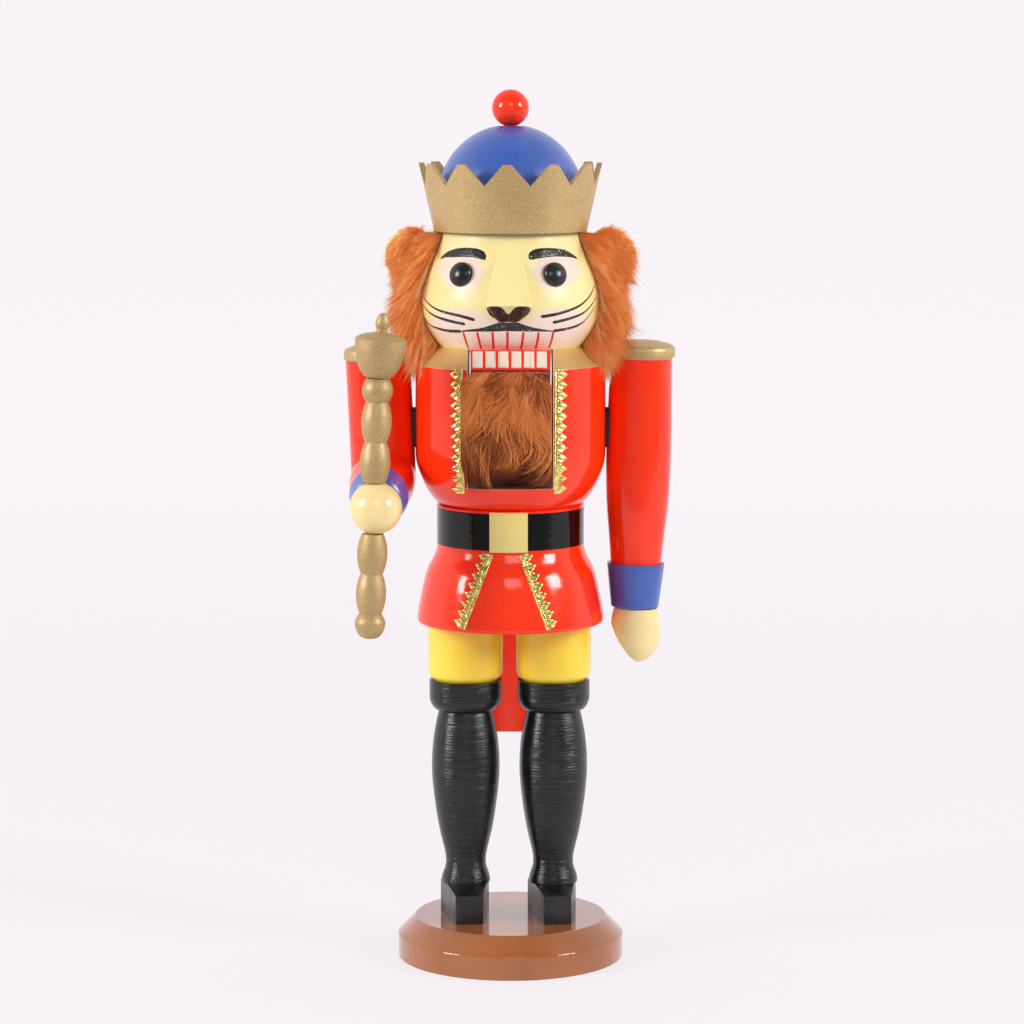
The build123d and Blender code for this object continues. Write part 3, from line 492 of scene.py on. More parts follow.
eye_black = lacquer("eye_black", srgb(14, 13, 14), srgb(36, 35, 37), (0.2, 0.28), peel=0.02)
washer = lacquer("washer_dark", srgb(40, 32, 30), srgb(54, 42, 38), (0.5, 0.7), peel=0.1)
steel = lacquer("pin_steel", srgb(170, 172, 176), srgb(140, 142, 146), (0.25, 0.4), metallic=1.0)
wood = bare_wood()
face = face_paint()
brush = brush_black()
gold_foil = foil()
mane_tones = hair_tones(
    "mane_fur",
    [
        srgb(204, 92, 36), srgb(244, 134, 60), srgb(255, 164, 84),
        srgb(255, 190, 112), srgb(255, 222, 168),
    ],
    sheen=0.9,
    painted_glow=0.15,
)
beard_tones = hair_tones(
    "beard_fur",
    [srgb(250, 160, 86), srgb(226, 126, 60), srgb(180, 88, 40), srgb(124, 54, 24), srgb(84, 34, 15)],
    sheen=0.3,
    painted_glow=0.0,
)

FINISHES = {
    "base_plate": brown,
    "skirt": red,
    "belt_band": belt_black,
    "belt_buckle": buckle_cream,
    "torso": coat_and_gold(),
    "pivot_pin": steel,
    "jaw_lever": lever_paint(),
    "head": face,
    "nose": face,
    "head_dowels": wood,
    "crown_ring": crown_gold,
    "crown_dowel": wood,
    "crown_dome": blue,
    "crown_ball": red,
    "left_sleeve": red,
    "left_cuff": blue,
    "left_hand": hand_cream,
    "left_wrist_dowel": wood,
    "right_upper_arm": red,
    "right_forearm": red,
    "right_elbow_dowel": wood,
    "right_cuff": blue,
    "right_fist": hand_cream,
}
for side_name, _ in SIDES:
    FINISHES[f"{side_name}_shoe"] = shoe_black
    FINISHES[f"{side_name}_boot"] = black
    FINISHES[f"{side_name}_leg_dowel"] = wood
    FINISHES[f"{side_name}_trouser_leg"] = yellow
    FINISHES[f"{side_name}_eye"] = eye_black
    FINISHES[f"{side_name}_ear"] = face
    FINISHES[f"{side_name}_shoulder_cap"] = gold
    FINISHES[f"{side_name}_shoulder_dowel"] = wood
    FINISHES[f"{side_name}_shoulder_spacer"] = washer
for name in nodes:
    if name.startswith("sceptre_"):
        FINISHES[name] = sceptre_gold
for name, finish in FINISHES.items():
    nodes[name].data.materials.clear()
    nodes[name].data.materials.append(finish)

make_camera()
make_world()
make_floor()
softbox("key_left", (-0.858, -0.382, 0.342), 1.7, (0.5, 0.55), 18.0)
softbox("key_right", (0.83, -0.4, 0.4), 1.7, (0.5, 0.55), 17.0)
softbox("front_high", (0.05, -0.88, 0.46), 2.0, (0.7, 0.5), 4.0)


# ---- skins on a surface --------------------------------------------------------------
RAY_START = 0.2  # metres from the axis, outside the figure
SUNK = 0.08  # how far a film's underside lies under the surface, in millimetres


class Surface:
    """The outside of some CAD nodes, found by shooting a ray at it."""

    def __init__(self, *names):
        verts, faces = [], []
        for n in names:
            mesh = nodes[n].data
            start = len(verts)
            verts += [v.co.copy() for v in mesh.vertices]
            faces += [tuple(start + i for i in p.vertices) for p in mesh.polygons]
        self.tree = BVHTree.FromPolygons(verts, faces)

    def hit(self, origin, way):
        point, normal, _, _ = self.tree.ray_cast(origin, way)
        if point is None:
            raise ValueError(f"nothing at {tuple(origin)}")
        return point, normal if normal.dot(way) < 0 else -normal

    def front(self, x, z):
        """The point seen from the front at (x, z), in millimetres, and its normal."""
        return self.hit(Vector((x * MM, -RAY_START, z * MM)), Vector((0, 1, 0)))

    def round(self, azimuth, z):
        """The point at a height, that many degrees from the front."""
        a = math.radians(azimuth)
        out = Vector((math.sin(a), -math.cos(a), 0))
        return self.hit(out * RAY_START + Vector((0, 0, z * MM)), -out)


def smooth(points, count):
    """count points on a curve through the given ones (Catmull-Rom)."""
    p = np.array([points[0], *points, points[-1]], float)
    at = np.linspace(0, len(points) - 1, count)
    i = np.minimum(at.astype(int), len(points) - 2)
    t = (at - i)[:, None]
    a, b, c, d = p[i], p[i + 1], p[i + 2], p[i + 3]
    straight_on = 2 * b + (c - a) * t
    bend = (2 * a - 5 * b + 4 * c - d) * t**2
    twist = (3 * b - a - 3 * c + d) * t**3
    return 0.5 * (straight_on + bend + twist)


def straight(points, count):
    """count points along straight runs between the given ones."""
    p = np.array(points, float)
    along = np.concatenate([[0], np.cumsum(np.linalg.norm(np.diff(p, axis=0), axis=1))])
    at = np.linspace(0, along[-1], count)
    return np.stack([np.interp(at, along, p[:, k]) for k in range(2)], axis=1)


def add_piece(name, verts, faces, materials, body):
    mesh = bpy.data.meshes.new(name)
    mesh.from_pydata(verts, [], faces)
    mesh.polygons.foreach_set("use_smooth", [True] * len(mesh.polygons))
    for material in materials:
        mesh.materials.append(material)
    mesh.update()
    piece = bpy.data.objects.new(name, mesh)
    bpy.context.scene.collection.objects.link(piece)
    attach(piece, body)
    return piece


def closed_sheet(rows, columns):
    """Faces of a thin closed sheet whose top and bottom are grids of rows by columns points."""
    size = rows * columns
    faces = []
    for i in range(rows - 1):
        for j in range(columns - 1):
            a = i * columns + j
            faces.append((a, a + 1, a + columns + 1, a + columns))
            faces.append((size + a, size + a + columns, size + a + columns + 1, size + a + 1))
    rim = list(range(columns)) + [i * columns + columns - 1 for i in range(1, rows)]
    rim += [(rows - 1) * columns + j for j in range(columns - 2, -1, -1)]
    rim += [i * columns for i in range(rows - 2, 0, -1)]
    for a, b in zip(rim, rim[1:] + rim[:1], strict=True):
        faces.append((b, a, size + a, size + b))
    return faces


def skin(name, upper, lower, place, material, body="figure", lift=0.12, across=7, relief=None):
    """A closed film of paint or foil between two curves on a surface.

    upper and lower hold matching points; place turns one into a point and normal. relief
    gives the height at (row, column), or it is lift with its edges rolled down."""
    rows = []
    for u, w in zip(upper, lower, strict=True):
        rows.append([place(*(u + (w - u) * j / (across - 1))) for j in range(across)])
    n = len(rows)
    top, bottom = [], []
    for i, row in enumerate(rows):
        for j, (point, normal) in enumerate(row):
            if relief:
                height = relief(i, j)
            else:
                edge = 1 - abs(2 * j / (across - 1) - 1) ** 4
                end = min(1.0, (min(i, n - 1 - i) + 0.4) / 2)
                height = lift * (0.25 + 0.75 * edge * end)
            top.append(point + normal * height * MM)
            bottom.append(point - normal * SUNK * MM)
    piece = add_piece(name, top + bottom, closed_sheet(n, across), [material], body)
    face_outward(piece)
    return piece


def face_outward(piece):
    """Turn the faces so that the closed mesh's volume is positive."""
    mesh = piece.data
    volume = 0.0
    for p in mesh.polygons:
        a = mesh.vertices[p.vertices[0]].co
        for k in range(1, len(p.vertices) - 1):
            volume += a.dot(mesh.vertices[p.vertices[k]].co.cross(mesh.vertices[p.vertices[k + 1]].co))
    if volume < 0:
        mesh.flip_normals()


def stroke(name, points, widths, place, material, body="figure", scale=(1.0, 1.0), count=36):
    """A brush stroke along a curve, with half-widths in mm from its first to its last point.

    scale is the millimetres in one unit of each coordinate."""
    line = smooth(points, count)
    share = np.linspace(0, 1, count)
    half = np.interp(share, np.linspace(0, 1, len(widths)), widths)
    length = np.concatenate([[0], np.cumsum(np.linalg.norm(np.diff(line * scale, axis=0), axis=1))])
    to_end = np.minimum(length, length[-1] - length)
    round_off = np.sqrt(np.clip(1 - (1 - np.minimum(to_end / half, 1)) ** 2, 0.02, 1))
    half = half * round_off
    tangent = np.gradient(line * scale, axis=0)
    tangent /= np.linalg.norm(tangent, axis=1)[:, None]
    normal = np.stack([-tangent[:, 1], tangent[:, 0]], axis=1) * half[:, None] / scale
    return skin(name, line + normal, line - normal, place, material, body, across=5)


# ---- the painted face ----------------------------------------------------------------
head = Surface("head")
snout = Surface("head", "nose")
DEGREE = (0.66, 1.0)  # millimetres on the face in one degree, and in one millimetre of height

# points on the face: degrees from the front, positive toward the figure's left, and height;
# each brow is its upper edge and its lower edge
BROWS = {
    "right": (
        [
            (-63.5, 308.5), (-57.5, 310.8), (-49.5, 312.3), (-39.8, 313.1),
            (-29.1, 313.1), (-21.3, 312.0), (-18.2, 310.0),
        ],
        [
            (-63.0, 307.9), (-56.5, 308.7), (-49.5, 308.9), (-38.4, 309.3),
            (-29.0, 309.3), (-22.5, 308.7), (-18.7, 308.2),
        ],
    ),
    "left": (
        [
            (13.4, 310.0), (15.0, 311.6), (19.5, 312.8), (27.5, 313.2),
            (37.4, 312.9), (48.5, 311.8), (58.6, 308.6),
        ],
        [
            (13.9, 308.5), (16.5, 308.5), (21.8, 309.0), (32.5, 309.5),
            (41.5, 309.4), (50.5, 308.9), (58.0, 308.0),
        ],
    ),
}
for name, (upper, lower) in BROWS.items():
    skin(f"{name}_brow", smooth(upper, 40), smooth(lower, 40), head.round, brush)

WHISKERS = {
    "right_whisker_1": [
        (-75.5, 292.2), (-66.0, 289.6), (-56.0, 287.3), (-46.0, 285.9), (-34.0, 284.8), (-22.9, 283.1),
    ],
    "right_whisker_2": [
        (-73.8, 288.2), (-65.0, 285.6), (-56.0, 283.8), (-45.0, 282.5), (-30.2, 281.2),
    ],
    "right_whisker_3": [
        (-77.0, 282.6), (-67.4, 279.6), (-56.6, 278.4), (-46.3, 277.8), (-35.0, 278.0),
    ],
    "left_whisker_1": [
        (71.0, 296.4), (64.9, 294.0), (56.8, 291.0), (47.8, 288.4),
        (37.1, 286.5), (26.9, 285.2), (19.2, 284.6),
    ],
    "left_whisker_2": [
        (70.0, 291.6), (62.0, 288.3), (54.0, 285.6), (46.0, 284.1), (37.7, 283.0), (27.8, 281.9),
    ],
    "left_whisker_3": [
        (67.0, 287.8), (59.0, 283.3), (53.0, 280.8), (46.0, 279.5), (37.3, 278.7), (29.6, 278.3),
    ],
}
WHISKER_HALF_WIDTHS = (0.2, 0.32, 0.5, 0.66, 0.7)
for name, points in WHISKERS.items():
    stroke(name, points, WHISKER_HALF_WIDTHS, head.round, brush, scale=DEGREE)

MOUSTACHE_TOP = [
    (-36.5, 278.1), (-28.8, 278.9), (-19.3, 279.8), (-10.5, 281.6), (-6.2, 283.0), (-1.8, 284.0),
    (2.6, 283.0), (8.1, 281.4), (14.0, 280.2), (20.5, 279.3), (27.0, 278.6), (32.6, 278.2),
]
MOUSTACHE_LOW = [
    (-36.5, 277.7), (-27.5, 278.0), (-19.5, 278.2), (-11.5, 278.3), (-6.2, 278.5), (-1.9, 278.6),
    (3.0, 278.5), (9.2, 278.4), (15.7, 278.3), (21.5, 278.2), (27.5, 278.0), (32.6, 277.8),
]
skin(
    "moustache", smooth(MOUSTACHE_TOP, 61), smooth(MOUSTACHE_LOW, 61), head.round,
    brush, lift=0.16, across=9,
)

# the nose paint: X and Z on the front, two lobes that meet under a notch
NOSE_TOP = [
    (-10.0, 288.2), (-9.2, 289.5), (-6.6, 290.1), (-3.5, 289.2), (-0.9, 286.4),
    (1.7, 289.2), (4.8, 290.1), (7.6, 289.5), (8.6, 288.2),
]
NOSE_LOW = [
    (-9.9, 287.7), (-8.8, 285.6), (-6.4, 283.8), (-3.8, 282.6), (-0.9, 282.9),
    (2.0, 282.6), (4.8, 283.8), (7.2, 285.6), (8.5, 287.7),
]
skin(
    "nose_paint", smooth(NOSE_TOP, 161), smooth(NOSE_LOW, 161), snout.front,
    nose_black(), lift=0.17, across=21,
)

tooth_cream = tooth_paint("tooth_cream", srgb(244, 224, 204), srgb(206, 192, 180))
tooth_red = tooth_paint("tooth_line_red", srgb(226, 40, 32), srgb(196, 28, 24))
UPPER_LINE_BOTTOM_Z = 270.3
UPPER_LINES = [  # degrees and height of the top, degrees of the bottom
    (-33.3, 277.8, -34.9),
    (-22.8, 278.0, -23.3),
    (-12.0, 278.2, -13.2),
    (-2.0, 278.4, -2.5),
    (8.6, 278.2, 8.2),
    (19.1, 278.0, 19.7),
    (29.8, 277.9, 31.2),
]
for number, (top, top_z, bottom) in enumerate(UPPER_LINES, 1):
    middle = ((top + bottom) / 2 + 0.15, (top_z + UPPER_LINE_BOTTOM_Z) / 2)
    stroke(
        f"upper_tooth_line_{number}", [(top, top_z), middle, (bottom, UPPER_LINE_BOTTOM_Z)],
        (0.56, 0.6, 0.52), head.round, tooth_red, scale=DEGREE, count=20,
    )

lever = Surface("jaw_lever")
TOOTH_PITCH = 5.45
TOOTH_WIDTH = 4.2
FIRST_TOOTH_X = -16.0
TOOTH_TOP_Z = 270.0
TOOTH_LOW_Z = 262.9
for number in range(6):
    left = FIRST_TOOTH_X + number * TOOTH_PITCH
    right = left + TOOTH_WIDTH
    wobble = rng.uniform(-0.12, 0.12, 6)
    upper = [(left + wobble[0], TOOTH_TOP_Z), (right + wobble[1], TOOTH_TOP_Z)]
    lower = [
        (left - 0.1 + wobble[2], TOOTH_LOW_Z + wobble[3]),
        (right + 0.05 + wobble[4], TOOTH_LOW_Z - 0.1 + wobble[5]),
    ]
    skin(
        f"lower_tooth_{number + 1}", straight(upper, 9), straight(lower, 9), lever.front,
        tooth_cream, body="jaw", lift=0.07, across=14,
    )


# ---- stamped foil trim ---------------------------------------------------------------
LACE_WIDTH = 5.7
LACE_BAND = 2.4
BEADS_WIDTH = 0.8
BEAD_PITCH = 0.75
RIB_END = 1.5
FAN_FOOT = 0.9
FAN_REACH = 3.4
FOIL_LIFT = 0.1


def lace_strip(name, node_name, start, end, side, teeth):
    """A foil strip: a beaded inner edge, a rib, and fans whose petals point outward."""
    surface = Surface(node_name)
    first, last = Vector(start), Vector(end)
    along = (last - first).normalized()
    out = Vector((-along.y, along.x)) * side
    length = (last - first).length
    pitch = length / teeth
    per_tooth, across = 22, 19
    count = teeth * per_tooth + 1

    def place(s, w):
        at = first + along * s + out * w
        return surface.front(at.x, at.y)

    def tooth_reach(s):
        """How far the fan reaches out: a rounded point with small side lobes."""
        phase = s / pitch % 1
        t = abs(2 * phase - 1)
        lobes = 0.1 * math.sin(3 * math.pi * t) ** 2
        return LACE_BAND + (LACE_WIDTH - LACE_BAND) * ((1 - t) ** 0.8 + lobes)

    s_values = np.linspace(0, length, count)
    upper = np.array([(s, 0.0) for s in s_values])
    lower = np.array([(s, tooth_reach(s)) for s in s_values])

    def relief(i, j):
        s = s_values[i]
        w = lower[i][1] * j / (across - 1)
        if w < BEADS_WIDTH:
            bead = abs(math.sin(math.pi * s / BEAD_PITCH))
            return FOIL_LIFT + 0.32 * bead * math.sin(math.pi * w / BEADS_WIDTH)
        if w < RIB_END:
            return FOIL_LIFT + 0.3 * math.sin(math.pi * (w - BEADS_WIDTH) / (RIB_END - BEADS_WIDTH))
        middle = (math.floor(s / pitch) + 0.5) * pitch
        angle = math.atan2(s - middle, w - FAN_FOOT)
        reach = math.hypot(s - middle, w - FAN_FOOT)
        petals = abs(math.cos(angle * 4.2))
        dome = math.sin(min(1.0, reach / FAN_REACH) * math.pi / 2)
        edge = min(1.0, (across - 1 - j) / 3 + 0.2)
        return FOIL_LIFT + (0.12 + 0.42 * petals**0.7) * dome * edge

    piece = skin(name, upper, lower, place, gold_foil, across=across, relief=relief)
    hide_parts(name.replace("_trim", "_lace"))


lace_strip("left_chest_trim", "torso", (18.7, 262.1), (18.4, 208.6), 1, 12)
lace_strip("right_chest_trim", "torso", (-20.2, 262.1), (-19.6, 208.6), -1, 12)
lace_strip("left_skirt_trim", "skirt", (3.5, 181.9), (15.5, 150.3), 1, 8)
lace_strip("right_skirt_trim", "skirt", (-7.4, 181.9), (-19.6, 150.3), -1, 8)


# ---- fur -----------------------------------------------------------------------------
DARKEST_TONE = 4
HAIRS_PER_TUFT = 13
GATHER = 0.7  # how far a tuft's hairs have drawn together at its tip
LEVER_SWEEP_HALF_W = 18.6
LEVER_SWEEP_Y = 12.0
LEVER_SWEEP_Z = 263.0


def unit(v):
    return v / np.linalg.norm(v, axis=1)[:, None]


def strands(name, path, radius, tone, materials, body):
    """Closed three-sided hairs in one mesh. path is (hairs, rings, 3) in millimetres."""
    count, rings, _ = path.shape
    ahead = unit(path[:, -1] - path[:, 0])
    side = unit(np.cross(ahead, [0.31, 0.52, 0.79]))
    up = np.cross(ahead, side)
    corners = []
    for k in range(rings - 1):
        thick = (radius * (1 - 0.6 * k / (rings - 1)))[:, None]
        for a in (0, 2 * math.pi / 3, 4 * math.pi / 3):
            corners.append(path[:, k] + thick * (math.cos(a) * side + math.sin(a) * up))
    corners.append(path[:, -1])
    verts = np.stack(corners, axis=1) * MM
    tip = 3 * (rings - 1)
    pattern = [(0, 2, 1)]
    for k in range(rings - 2):
        for a in range(3):
            b = (a + 1) % 3
            low, high = 3 * k, 3 * k + 3
            pattern += [(low + a, low + b, high + b), (low + a, high + b, high + a)]
    for a in range(3):
        pattern.append((tip - 3 + a, tip - 3 + (a + 1) % 3, tip))
    pattern = np.array(pattern)
    faces = (pattern[None] + (np.arange(count) * (tip + 1))[:, None, None]).reshape(-1, 3)
    mesh = bpy.data.meshes.new(name)
    mesh.from_pydata(verts.reshape(-1, 3), [], faces)
    mesh.polygons.foreach_set("use_smooth", np.ones(len(faces), bool))
    mesh.polygons.foreach_set("material_index", np.repeat(tone, len(pattern)).astype(np.int32))
    for material in materials:
        mesh.materials.append(material)
    mesh.update()
    piece = bpy.data.objects.new(name, mesh)
    bpy.context.scene.collection.objects.link(piece)
    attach(piece, body)
    return piece


def clumped(count, clumps, low, high, spread):
    """Roots gathered loosely round clump centres, and the clump that each belongs to."""
    centres = rng.uniform(low, high, (clumps, 2))
    owner = rng.integers(0, clumps, count)
    roots = centres[owner] + rng.normal(0, spread, (count, 2))
    return np.clip(roots, low, high), owner


def hair_radii(count):
    return np.abs(rng.normal(0.1, 0.02, count)) + 0.03


def tone_index(value):
    """The number of the nearest tone."""
    return np.clip(np.round(value), 0, DARKEST_TONE)


def tufted(root, centre, ahead, bend, length, own):
    """Hairs that leave their own roots and draw together toward the tip of their tuft."""
    steps = np.linspace(0, 1, 4)[None, :, None]
    curve = ahead[:, None] * steps + bend[:, None] * steps**2
    middle = centre[:, None] + curve * length[:, None, None]
    loose = (root - centre)[:, None] * (1 - GATHER * steps) + own[:, None] * steps**1.5
    return middle + loose


def clear_of_body(path):
    """Push hairs out of the shoulder slope, the arms' caps and the open lever's room behind."""
    for side in (-1, 1):
        x = path[..., 0] - side * CAP_X
        y = path[..., 1]
        far = np.hypot(x, y)
        inside = (far < CAP_CLEAR_R) & (path[..., 2] < CAP_CLEAR_Z)
        push = np.where(inside, CAP_CLEAR_R / np.maximum(far, 1), 1.0)
        path[..., 0] = side * CAP_X + x * push
        path[..., 1] = y * push
    r = np.hypot(path[..., 0], path[..., 1])
    slope = TORSO_TOP_Z - np.maximum(r - TORSO_TOP_R, 0) * SHOULDER_SLOPE + 0.4
    path[..., 2] = np.maximum(path[..., 2], np.where(r < TORSO_R, slope, 0))
    over_slot = (np.abs(path[..., 0]) < LEVER_SWEEP_HALF_W) & (path[..., 1] > LEVER_SWEEP_Y)
    lever_top = LEVER_SWEEP_Z + 0.7 * np.abs(np.sin(9 * path[:, :1, 0]))
    path[..., 2] = np.where(over_slot, np.maximum(path[..., 2], lever_top), path[..., 2])
    return path


HEAD_HEIGHTS = [TORSO_TOP_Z, 273.7, 279.4, 289.0, 298.0, 306.6, 319.0]
HEAD_RADII = [TORSO_TOP_R, 34.0, 37.3, 39.2, 37.6, 34.2, 29.6]
MANE_LOW_Z = 270.6
MANE_TOP_Z = 318.0
FABRIC_LIFT = 0.9


def head_radius(z):
    return np.interp(z, HEAD_HEIGHTS, HEAD_RADII)


def scalp(turn, z):
    """The point on the mane's fabric at an angle from the front and a height, and the way out."""
    out = np.stack([np.sin(turn), -np.cos(turn), np.zeros(len(turn))], axis=1)
    return out * (head_radius(z) + FABRIC_LIFT)[:, None] + np.stack([0 * z, 0 * z, z], axis=1), out


def mane_part(name, count, turn_low, turn_high):
    """Hair that springs from the fabric round the head and falls outward and down in tufts.

    share runs from 0 at the mane's bottom to 1 at its top; drop is how far below level a tuft
    points, and front is how much the low hairs beside the face lean forward."""
    clumps = count // HAIRS_PER_TUFT
    centres = rng.uniform([turn_low, MANE_LOW_Z], [turn_high, MANE_TOP_Z], (clumps, 2))
    owner = rng.integers(0, clumps, count)
    clump_way = rng.normal(0, 1, (clumps, 4))[owner]
    own_way = rng.normal(0, 1, (count, 4))
    turn, z = np.radians(centres[owner, 0]), centres[owner, 1]
    middle, out = scalp(turn, z)
    root_turn = np.clip(np.degrees(turn) + 1.3 * own_way[:, 0], turn_low, turn_high)
    root_z = np.clip(z + 0.9 * own_way[:, 1], MANE_LOW_Z - 0.1, MANE_TOP_Z + 0.2)
    root, _ = scalp(np.radians(root_turn), root_z)
    round_way = np.stack([np.cos(turn), np.sin(turn), np.zeros(count)], axis=1)
    share = (z - 270) / 49
    drop = np.interp(share, [0, 0.2, 0.5, 0.78, 1.0], [44, 48, 38, 20, 12])
    drop = np.radians(drop + 15 * clump_way[:, 0])
    length = np.interp(share, [0, 0.15, 0.45, 0.8, 1.0], [14.5, 15.5, 14.5, 14.5, 12])
    length = length * np.clip(0.95 + 0.13 * clump_way[:, 1] + 0.12 * own_way[:, 2], 0.5, 1.25)
    ahead = out * np.cos(drop)[:, None] - np.array([0, 0, 1]) * np.sin(drop)[:, None]
    ahead = unit(ahead + round_way * (0.32 * clump_way[:, 2])[:, None])
    front = np.clip((100 - np.abs(centres[owner, 0])) / 25, 0, 1) * np.clip((0.4 - share) / 0.4, 0, 1)
    ahead = unit(ahead + np.array([0, -0.5, 0]) * front[:, None])
    bend = np.array([0, 0, -0.3]) + round_way * (0.24 * clump_way[:, 3])[:, None]
    wild = np.where(rng.uniform(0, 1, count) < 0.07, 2.6, 0.55)[:, None] * own_way[:, 1:4]
    path = clear_of_body(tufted(root, middle, ahead, bend, length, wild))
    tone = tone_index(1.9 + 1.15 * clump_way[:, 0] + 0.6 * own_way[:, 2])
    radius = hair_radii(count)
    return strands(name, path, radius, tone, mane_tones, "figure")


def fabric_ring(name, turn_low, turn_high, thick):
    """The mane's backing: a band of fabric glued round the head from cheek to cheek."""
    turns = np.radians(np.linspace(turn_low, turn_high, 120))
    heights = np.linspace(270.4, 318.7, 34)
    points = []
    for lift, wave in ((0.15, 0.0), (thick, 0.15)):
        for z in heights:
            for t in turns:
                r = head_radius(z) + lift + wave * math.sin(t * 40 + z)
                points.append((r * math.sin(t) * MM, -r * math.cos(t) * MM, z * MM))
    cloth = cloth_backing("mane_backing_cloth", srgb(226, 142, 96), srgb(196, 106, 62))
    faces = closed_sheet(len(heights), len(turns))
    piece = add_piece(name, points, faces, [cloth], "figure")
    face_outward(piece)
    return piece


MANE_EDGE = 76  # degrees from the front at which the mane starts
MANE_HAIRS = int(12000 * QUICK_SHARE)
EAR_HAIRS = int(7000 * QUICK_SHARE)
BEARD_HAIRS = int(5200 * QUICK_SHARE)
mane_backing = fabric_ring("mane_backing", MANE_EDGE, 360 - MANE_EDGE, 1.1)
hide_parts("mane")
MANE_TURNS = {
    "mane_left_front": (MANE_EDGE, 94),
    "mane_left_side": (94, 124),
    "mane_left_back": (124, 180),
    "mane_right_back": (-180, -124),
    "mane_right_side": (-124, -94),
    "mane_right_front": (-94, -MANE_EDGE),
}
mane_pieces = [mane_part(name, MANE_HAIRS, *turns) for name, turns in MANE_TURNS.items()]


def ear_fur(name, side, count):
    """Long pile on the front of a round ear, combed outward and down like the mane's.

    outer is 1 toward the ear's free rim, where the hairs are short and let the rim show."""
    clumps = count // HAIRS_PER_TUFT
    owner = rng.integers(0, clumps, count)
    clump_way = rng.normal(0, 1, (clumps, 3))[owner]
    own_way = rng.normal(0, 1, (count, 3))
    angle = rng.uniform(0, 2 * math.pi, clumps)[owner]
    outer = np.clip(1.6 * np.cos(angle - 0.2), 0, 1)
    r = (10.8 - 1.2 * outer) * np.sqrt(rng.uniform(0, 1, clumps))[owner]
    x, z = side * (EAR_X + r * np.cos(angle)), EAR_Z + r * np.sin(angle)
    middle = np.stack([x, np.full(count, -0.4), z], axis=1)
    root = middle + np.array([0.7, 0, 0.7]) * own_way
    combed_from = np.array([side * 30, 0, 306])
    ahead = unit((middle - combed_from) * np.array([1.0, 0, 0.75]))
    ahead = unit(ahead + np.array([side * 0.05, -0.75, -0.5]) + 0.36 * clump_way)
    edge = np.clip(EAR_R - r, 0.5, 12)
    reach = outer * (edge * 0.9 + 0.4) + (1 - outer) * (edge + 7.0)
    spread = 1 + 0.16 * clump_way[:, 0] + 0.12 * own_way[:, 0]
    length = np.clip(np.minimum(10.0, reach) * spread, 1.2, 12)
    stray = np.where(rng.uniform(0, 1, count) < 0.06, 2.2, 0.4)[:, None] * own_way
    bend = np.tile([0, 0.2, -0.35], (count, 1))
    path = tufted(root, middle, ahead, bend, length, stray)
    path[..., 1] = np.minimum(path[..., 1], -0.2)
    tone = tone_index(2.2 + 1.1 * clump_way[:, 1] + 0.6 * own_way[:, 2])
    radius = np.full(count, 0.11)
    return strands(name, path, radius, tone, mane_tones, "figure")


for side_name, side in SIDES:
    mane_pieces.append(ear_fur(f"{side_name}_ear_fur", side, EAR_HAIRS))


# ---- beard ---------------------------------------------------------------------------
def beard_backing():
    """A strip of fabric glued to the jaw board below the teeth, with a ragged cut edge."""
    xs = np.linspace(-16.7, 16.7, 60)
    zs = np.linspace(238.4, 261.3, 30)
    points = []
    for y in (-33.75, -34.9):
        for z in zs:
            for x in xs:
                ragged = 0.25 * math.sin(x * 5.1) * math.sin(x * 2.3 + 1) if z == zs[-1] else 0
                points.append((x * MM, (y + 0.08 * math.sin(x * 3 + z)) * MM, (z + ragged) * MM))
    cloth = cloth_backing("beard_backing_cloth", srgb(206, 142, 122), srgb(140, 78, 56))
    faces = closed_sheet(len(zs), len(xs))
    piece = add_piece("beard_backing", points, faces, [cloth], "jaw")
    face_outward(piece)
    return piece


BEARD_HAIRS_PER_TUFT = 26
BEARD_RINGS = 7
BEARD_FORWARD = (0.9, 0.5, 0.12, 0.12, 0.12, 0.12)  # how fast a hair comes forward, step by step
BEARD_ROOT_Y = -34.8
BEARD_FRONT_Y = -40.4
BEARD_FLOOR_Z = 211.9
WALL_FRONT_Y = -38.0  # ahead of this a hair may spread over the slot's edge
SPILL_X = -21.0
SPILL_LOW_Z = 222.0


def bell(x, z, centre, width):
    """1 at the centre of a place on the beard, falling off over the given widths."""
    return np.exp(-(((x - centre[0]) / width[0]) ** 2) - ((z - centre[1]) / width[1]) ** 2)


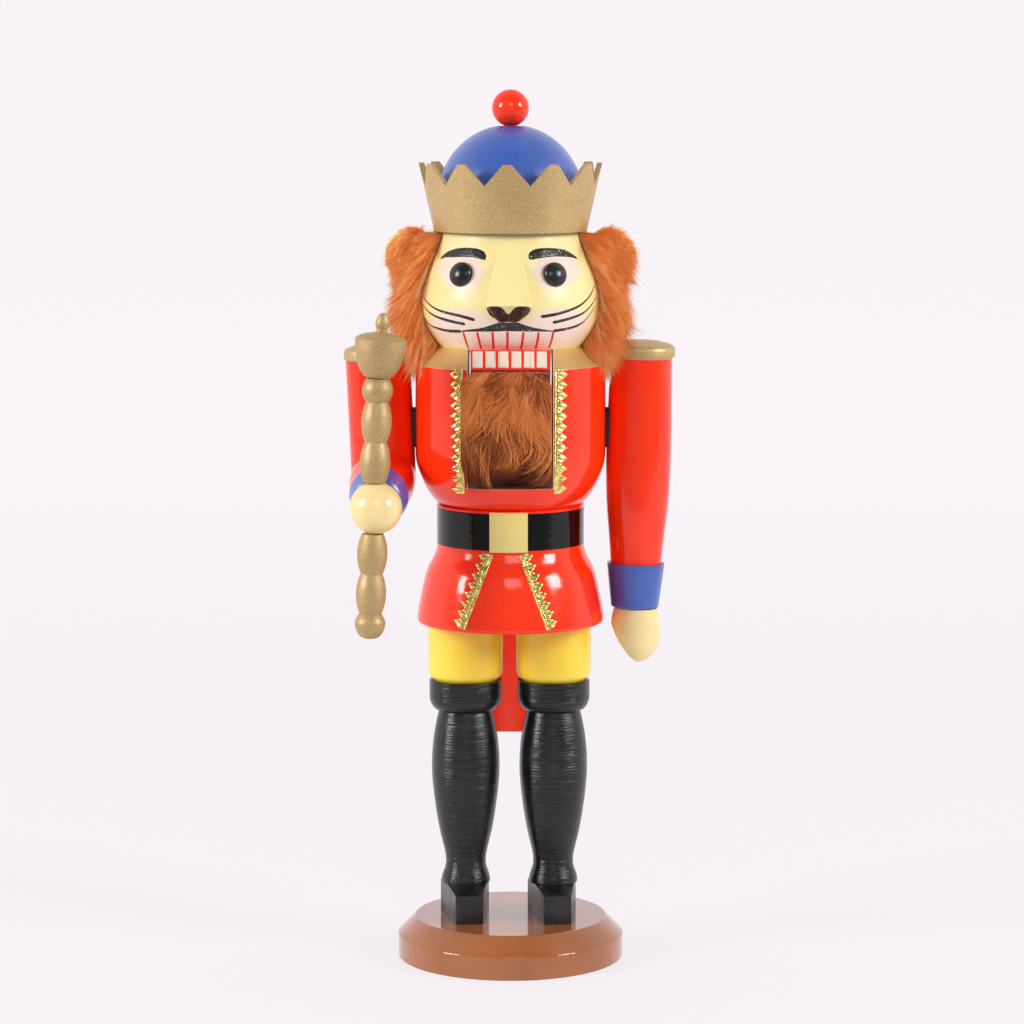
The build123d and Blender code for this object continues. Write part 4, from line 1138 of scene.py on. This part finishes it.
def beard_part(name, count, z_low, z_high, reach, dark):
    """Long hair that falls from the backing and curls round near the slot's floor.

    angle is how far each step leans from straight down toward the figure's right; dark is
    the number of the middling tone, set high for the low part as painted shade deep in the slot,
    on top of the fur's own darker brown."""
    clumps = count // BEARD_HAIRS_PER_TUFT
    low, high = np.array([-16.4, z_low]), np.array([16.2, z_high])
    roots, owner = clumped(count, clumps, low, high, np.array([0.8, 0.7]))
    clump_way = rng.normal(0, 1, (clumps, 3))[owner]
    own_way = rng.normal(0, 1, (count, 3))
    length = reach * (1 + 0.14 * clump_way[:, 2] + 0.14 * own_way[:, 2])
    step = length / (BEARD_RINGS - 1)
    front_y = BEARD_FRONT_Y + 0.5 * clump_way[:, 1] + 0.25 * own_way[:, 1]
    floor_z = BEARD_FLOOR_Z + 0.9 * np.abs(own_way[:, 0])
    path = np.zeros((count, BEARD_RINGS, 3))
    x, y, z = roots[:, 0], np.full(count, BEARD_ROOT_Y), roots[:, 1]
    path[:, 0] = np.stack([x, y, z], axis=1)
    for k, forward in enumerate(BEARD_FORWARD, 1):
        wave = 20 * np.sin(0.34 * x + 0.2 * z + 1.4 * clump_way[:, 1])
        whorl = 115 * bell(x, z, (3, 217), (12, 8))
        spread = -38 * bell(x, z, (9, 232), (6, 6))
        side_curl = 34 * bell(x, z, (-12, 246), (6, 14))
        lean = 19 * clump_way[:, 0] + 8 * own_way[:, 0]
        angle = np.radians(8 + wave + whorl + spread + side_curl + lean)
        near_floor = np.where(z < 216, 0.35, 1.0)
        x = x - np.sin(angle) * step
        z = z - np.cos(angle) * step * near_floor
        y = np.maximum(y - forward * step, front_y)
        low_down = np.clip((232 - z) / 16, 0, 1)
        y = y + (2.2 + 0.8 * clump_way[:, 1]) * low_down
        z = np.maximum(z, floor_z)
        ahead_of_wall = y < WALL_FRONT_Y
        limit = np.where(ahead_of_wall, 19.6, 17.2) - 0.3 * np.abs(own_way[:, 1])
        spilling = ahead_of_wall & (z > SPILL_LOW_Z)
        x = np.clip(x, np.where(spilling, SPILL_X, -limit + 0.4), np.minimum(limit, 17.4))
        path[:, k] = np.stack([x, y, z], axis=1)
    # hairs low down and at the lower left take darker tones: painted shade of the slot's recess, over
    # the beard's own darker brown
    lower_left_shade = 1.2 * (x < -2) * (z < 226)
    tone = tone_index(dark + lower_left_shade + 0.9 * clump_way[:, 1] + 0.7 * own_way[:, 2])
    radius = hair_radii(count)
    return strands(name, path, radius, tone, beard_tones, "jaw")


beard_cloth = beard_backing()
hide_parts("beard")
# the low part's darker tones are partly painted shade, deep in the slot
beard_pieces = [
    beard_part("beard_top", BEARD_HAIRS, z_low=250.0, z_high=260.7, reach=25.0, dark=1.1),
    beard_part("beard_middle", BEARD_HAIRS, z_low=239.0, z_high=252.0, reach=27.0, dark=0.8),
    beard_part("beard_low", BEARD_HAIRS, z_low=238.6, z_high=247.0, reach=34.0, dark=3.1),
]
for piece in (beard_cloth, *beard_pieces):
    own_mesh(piece)

view_settings = bpy.context.scene.view_settings
view_settings.view_transform = "Standard"
view_settings.look = "None"
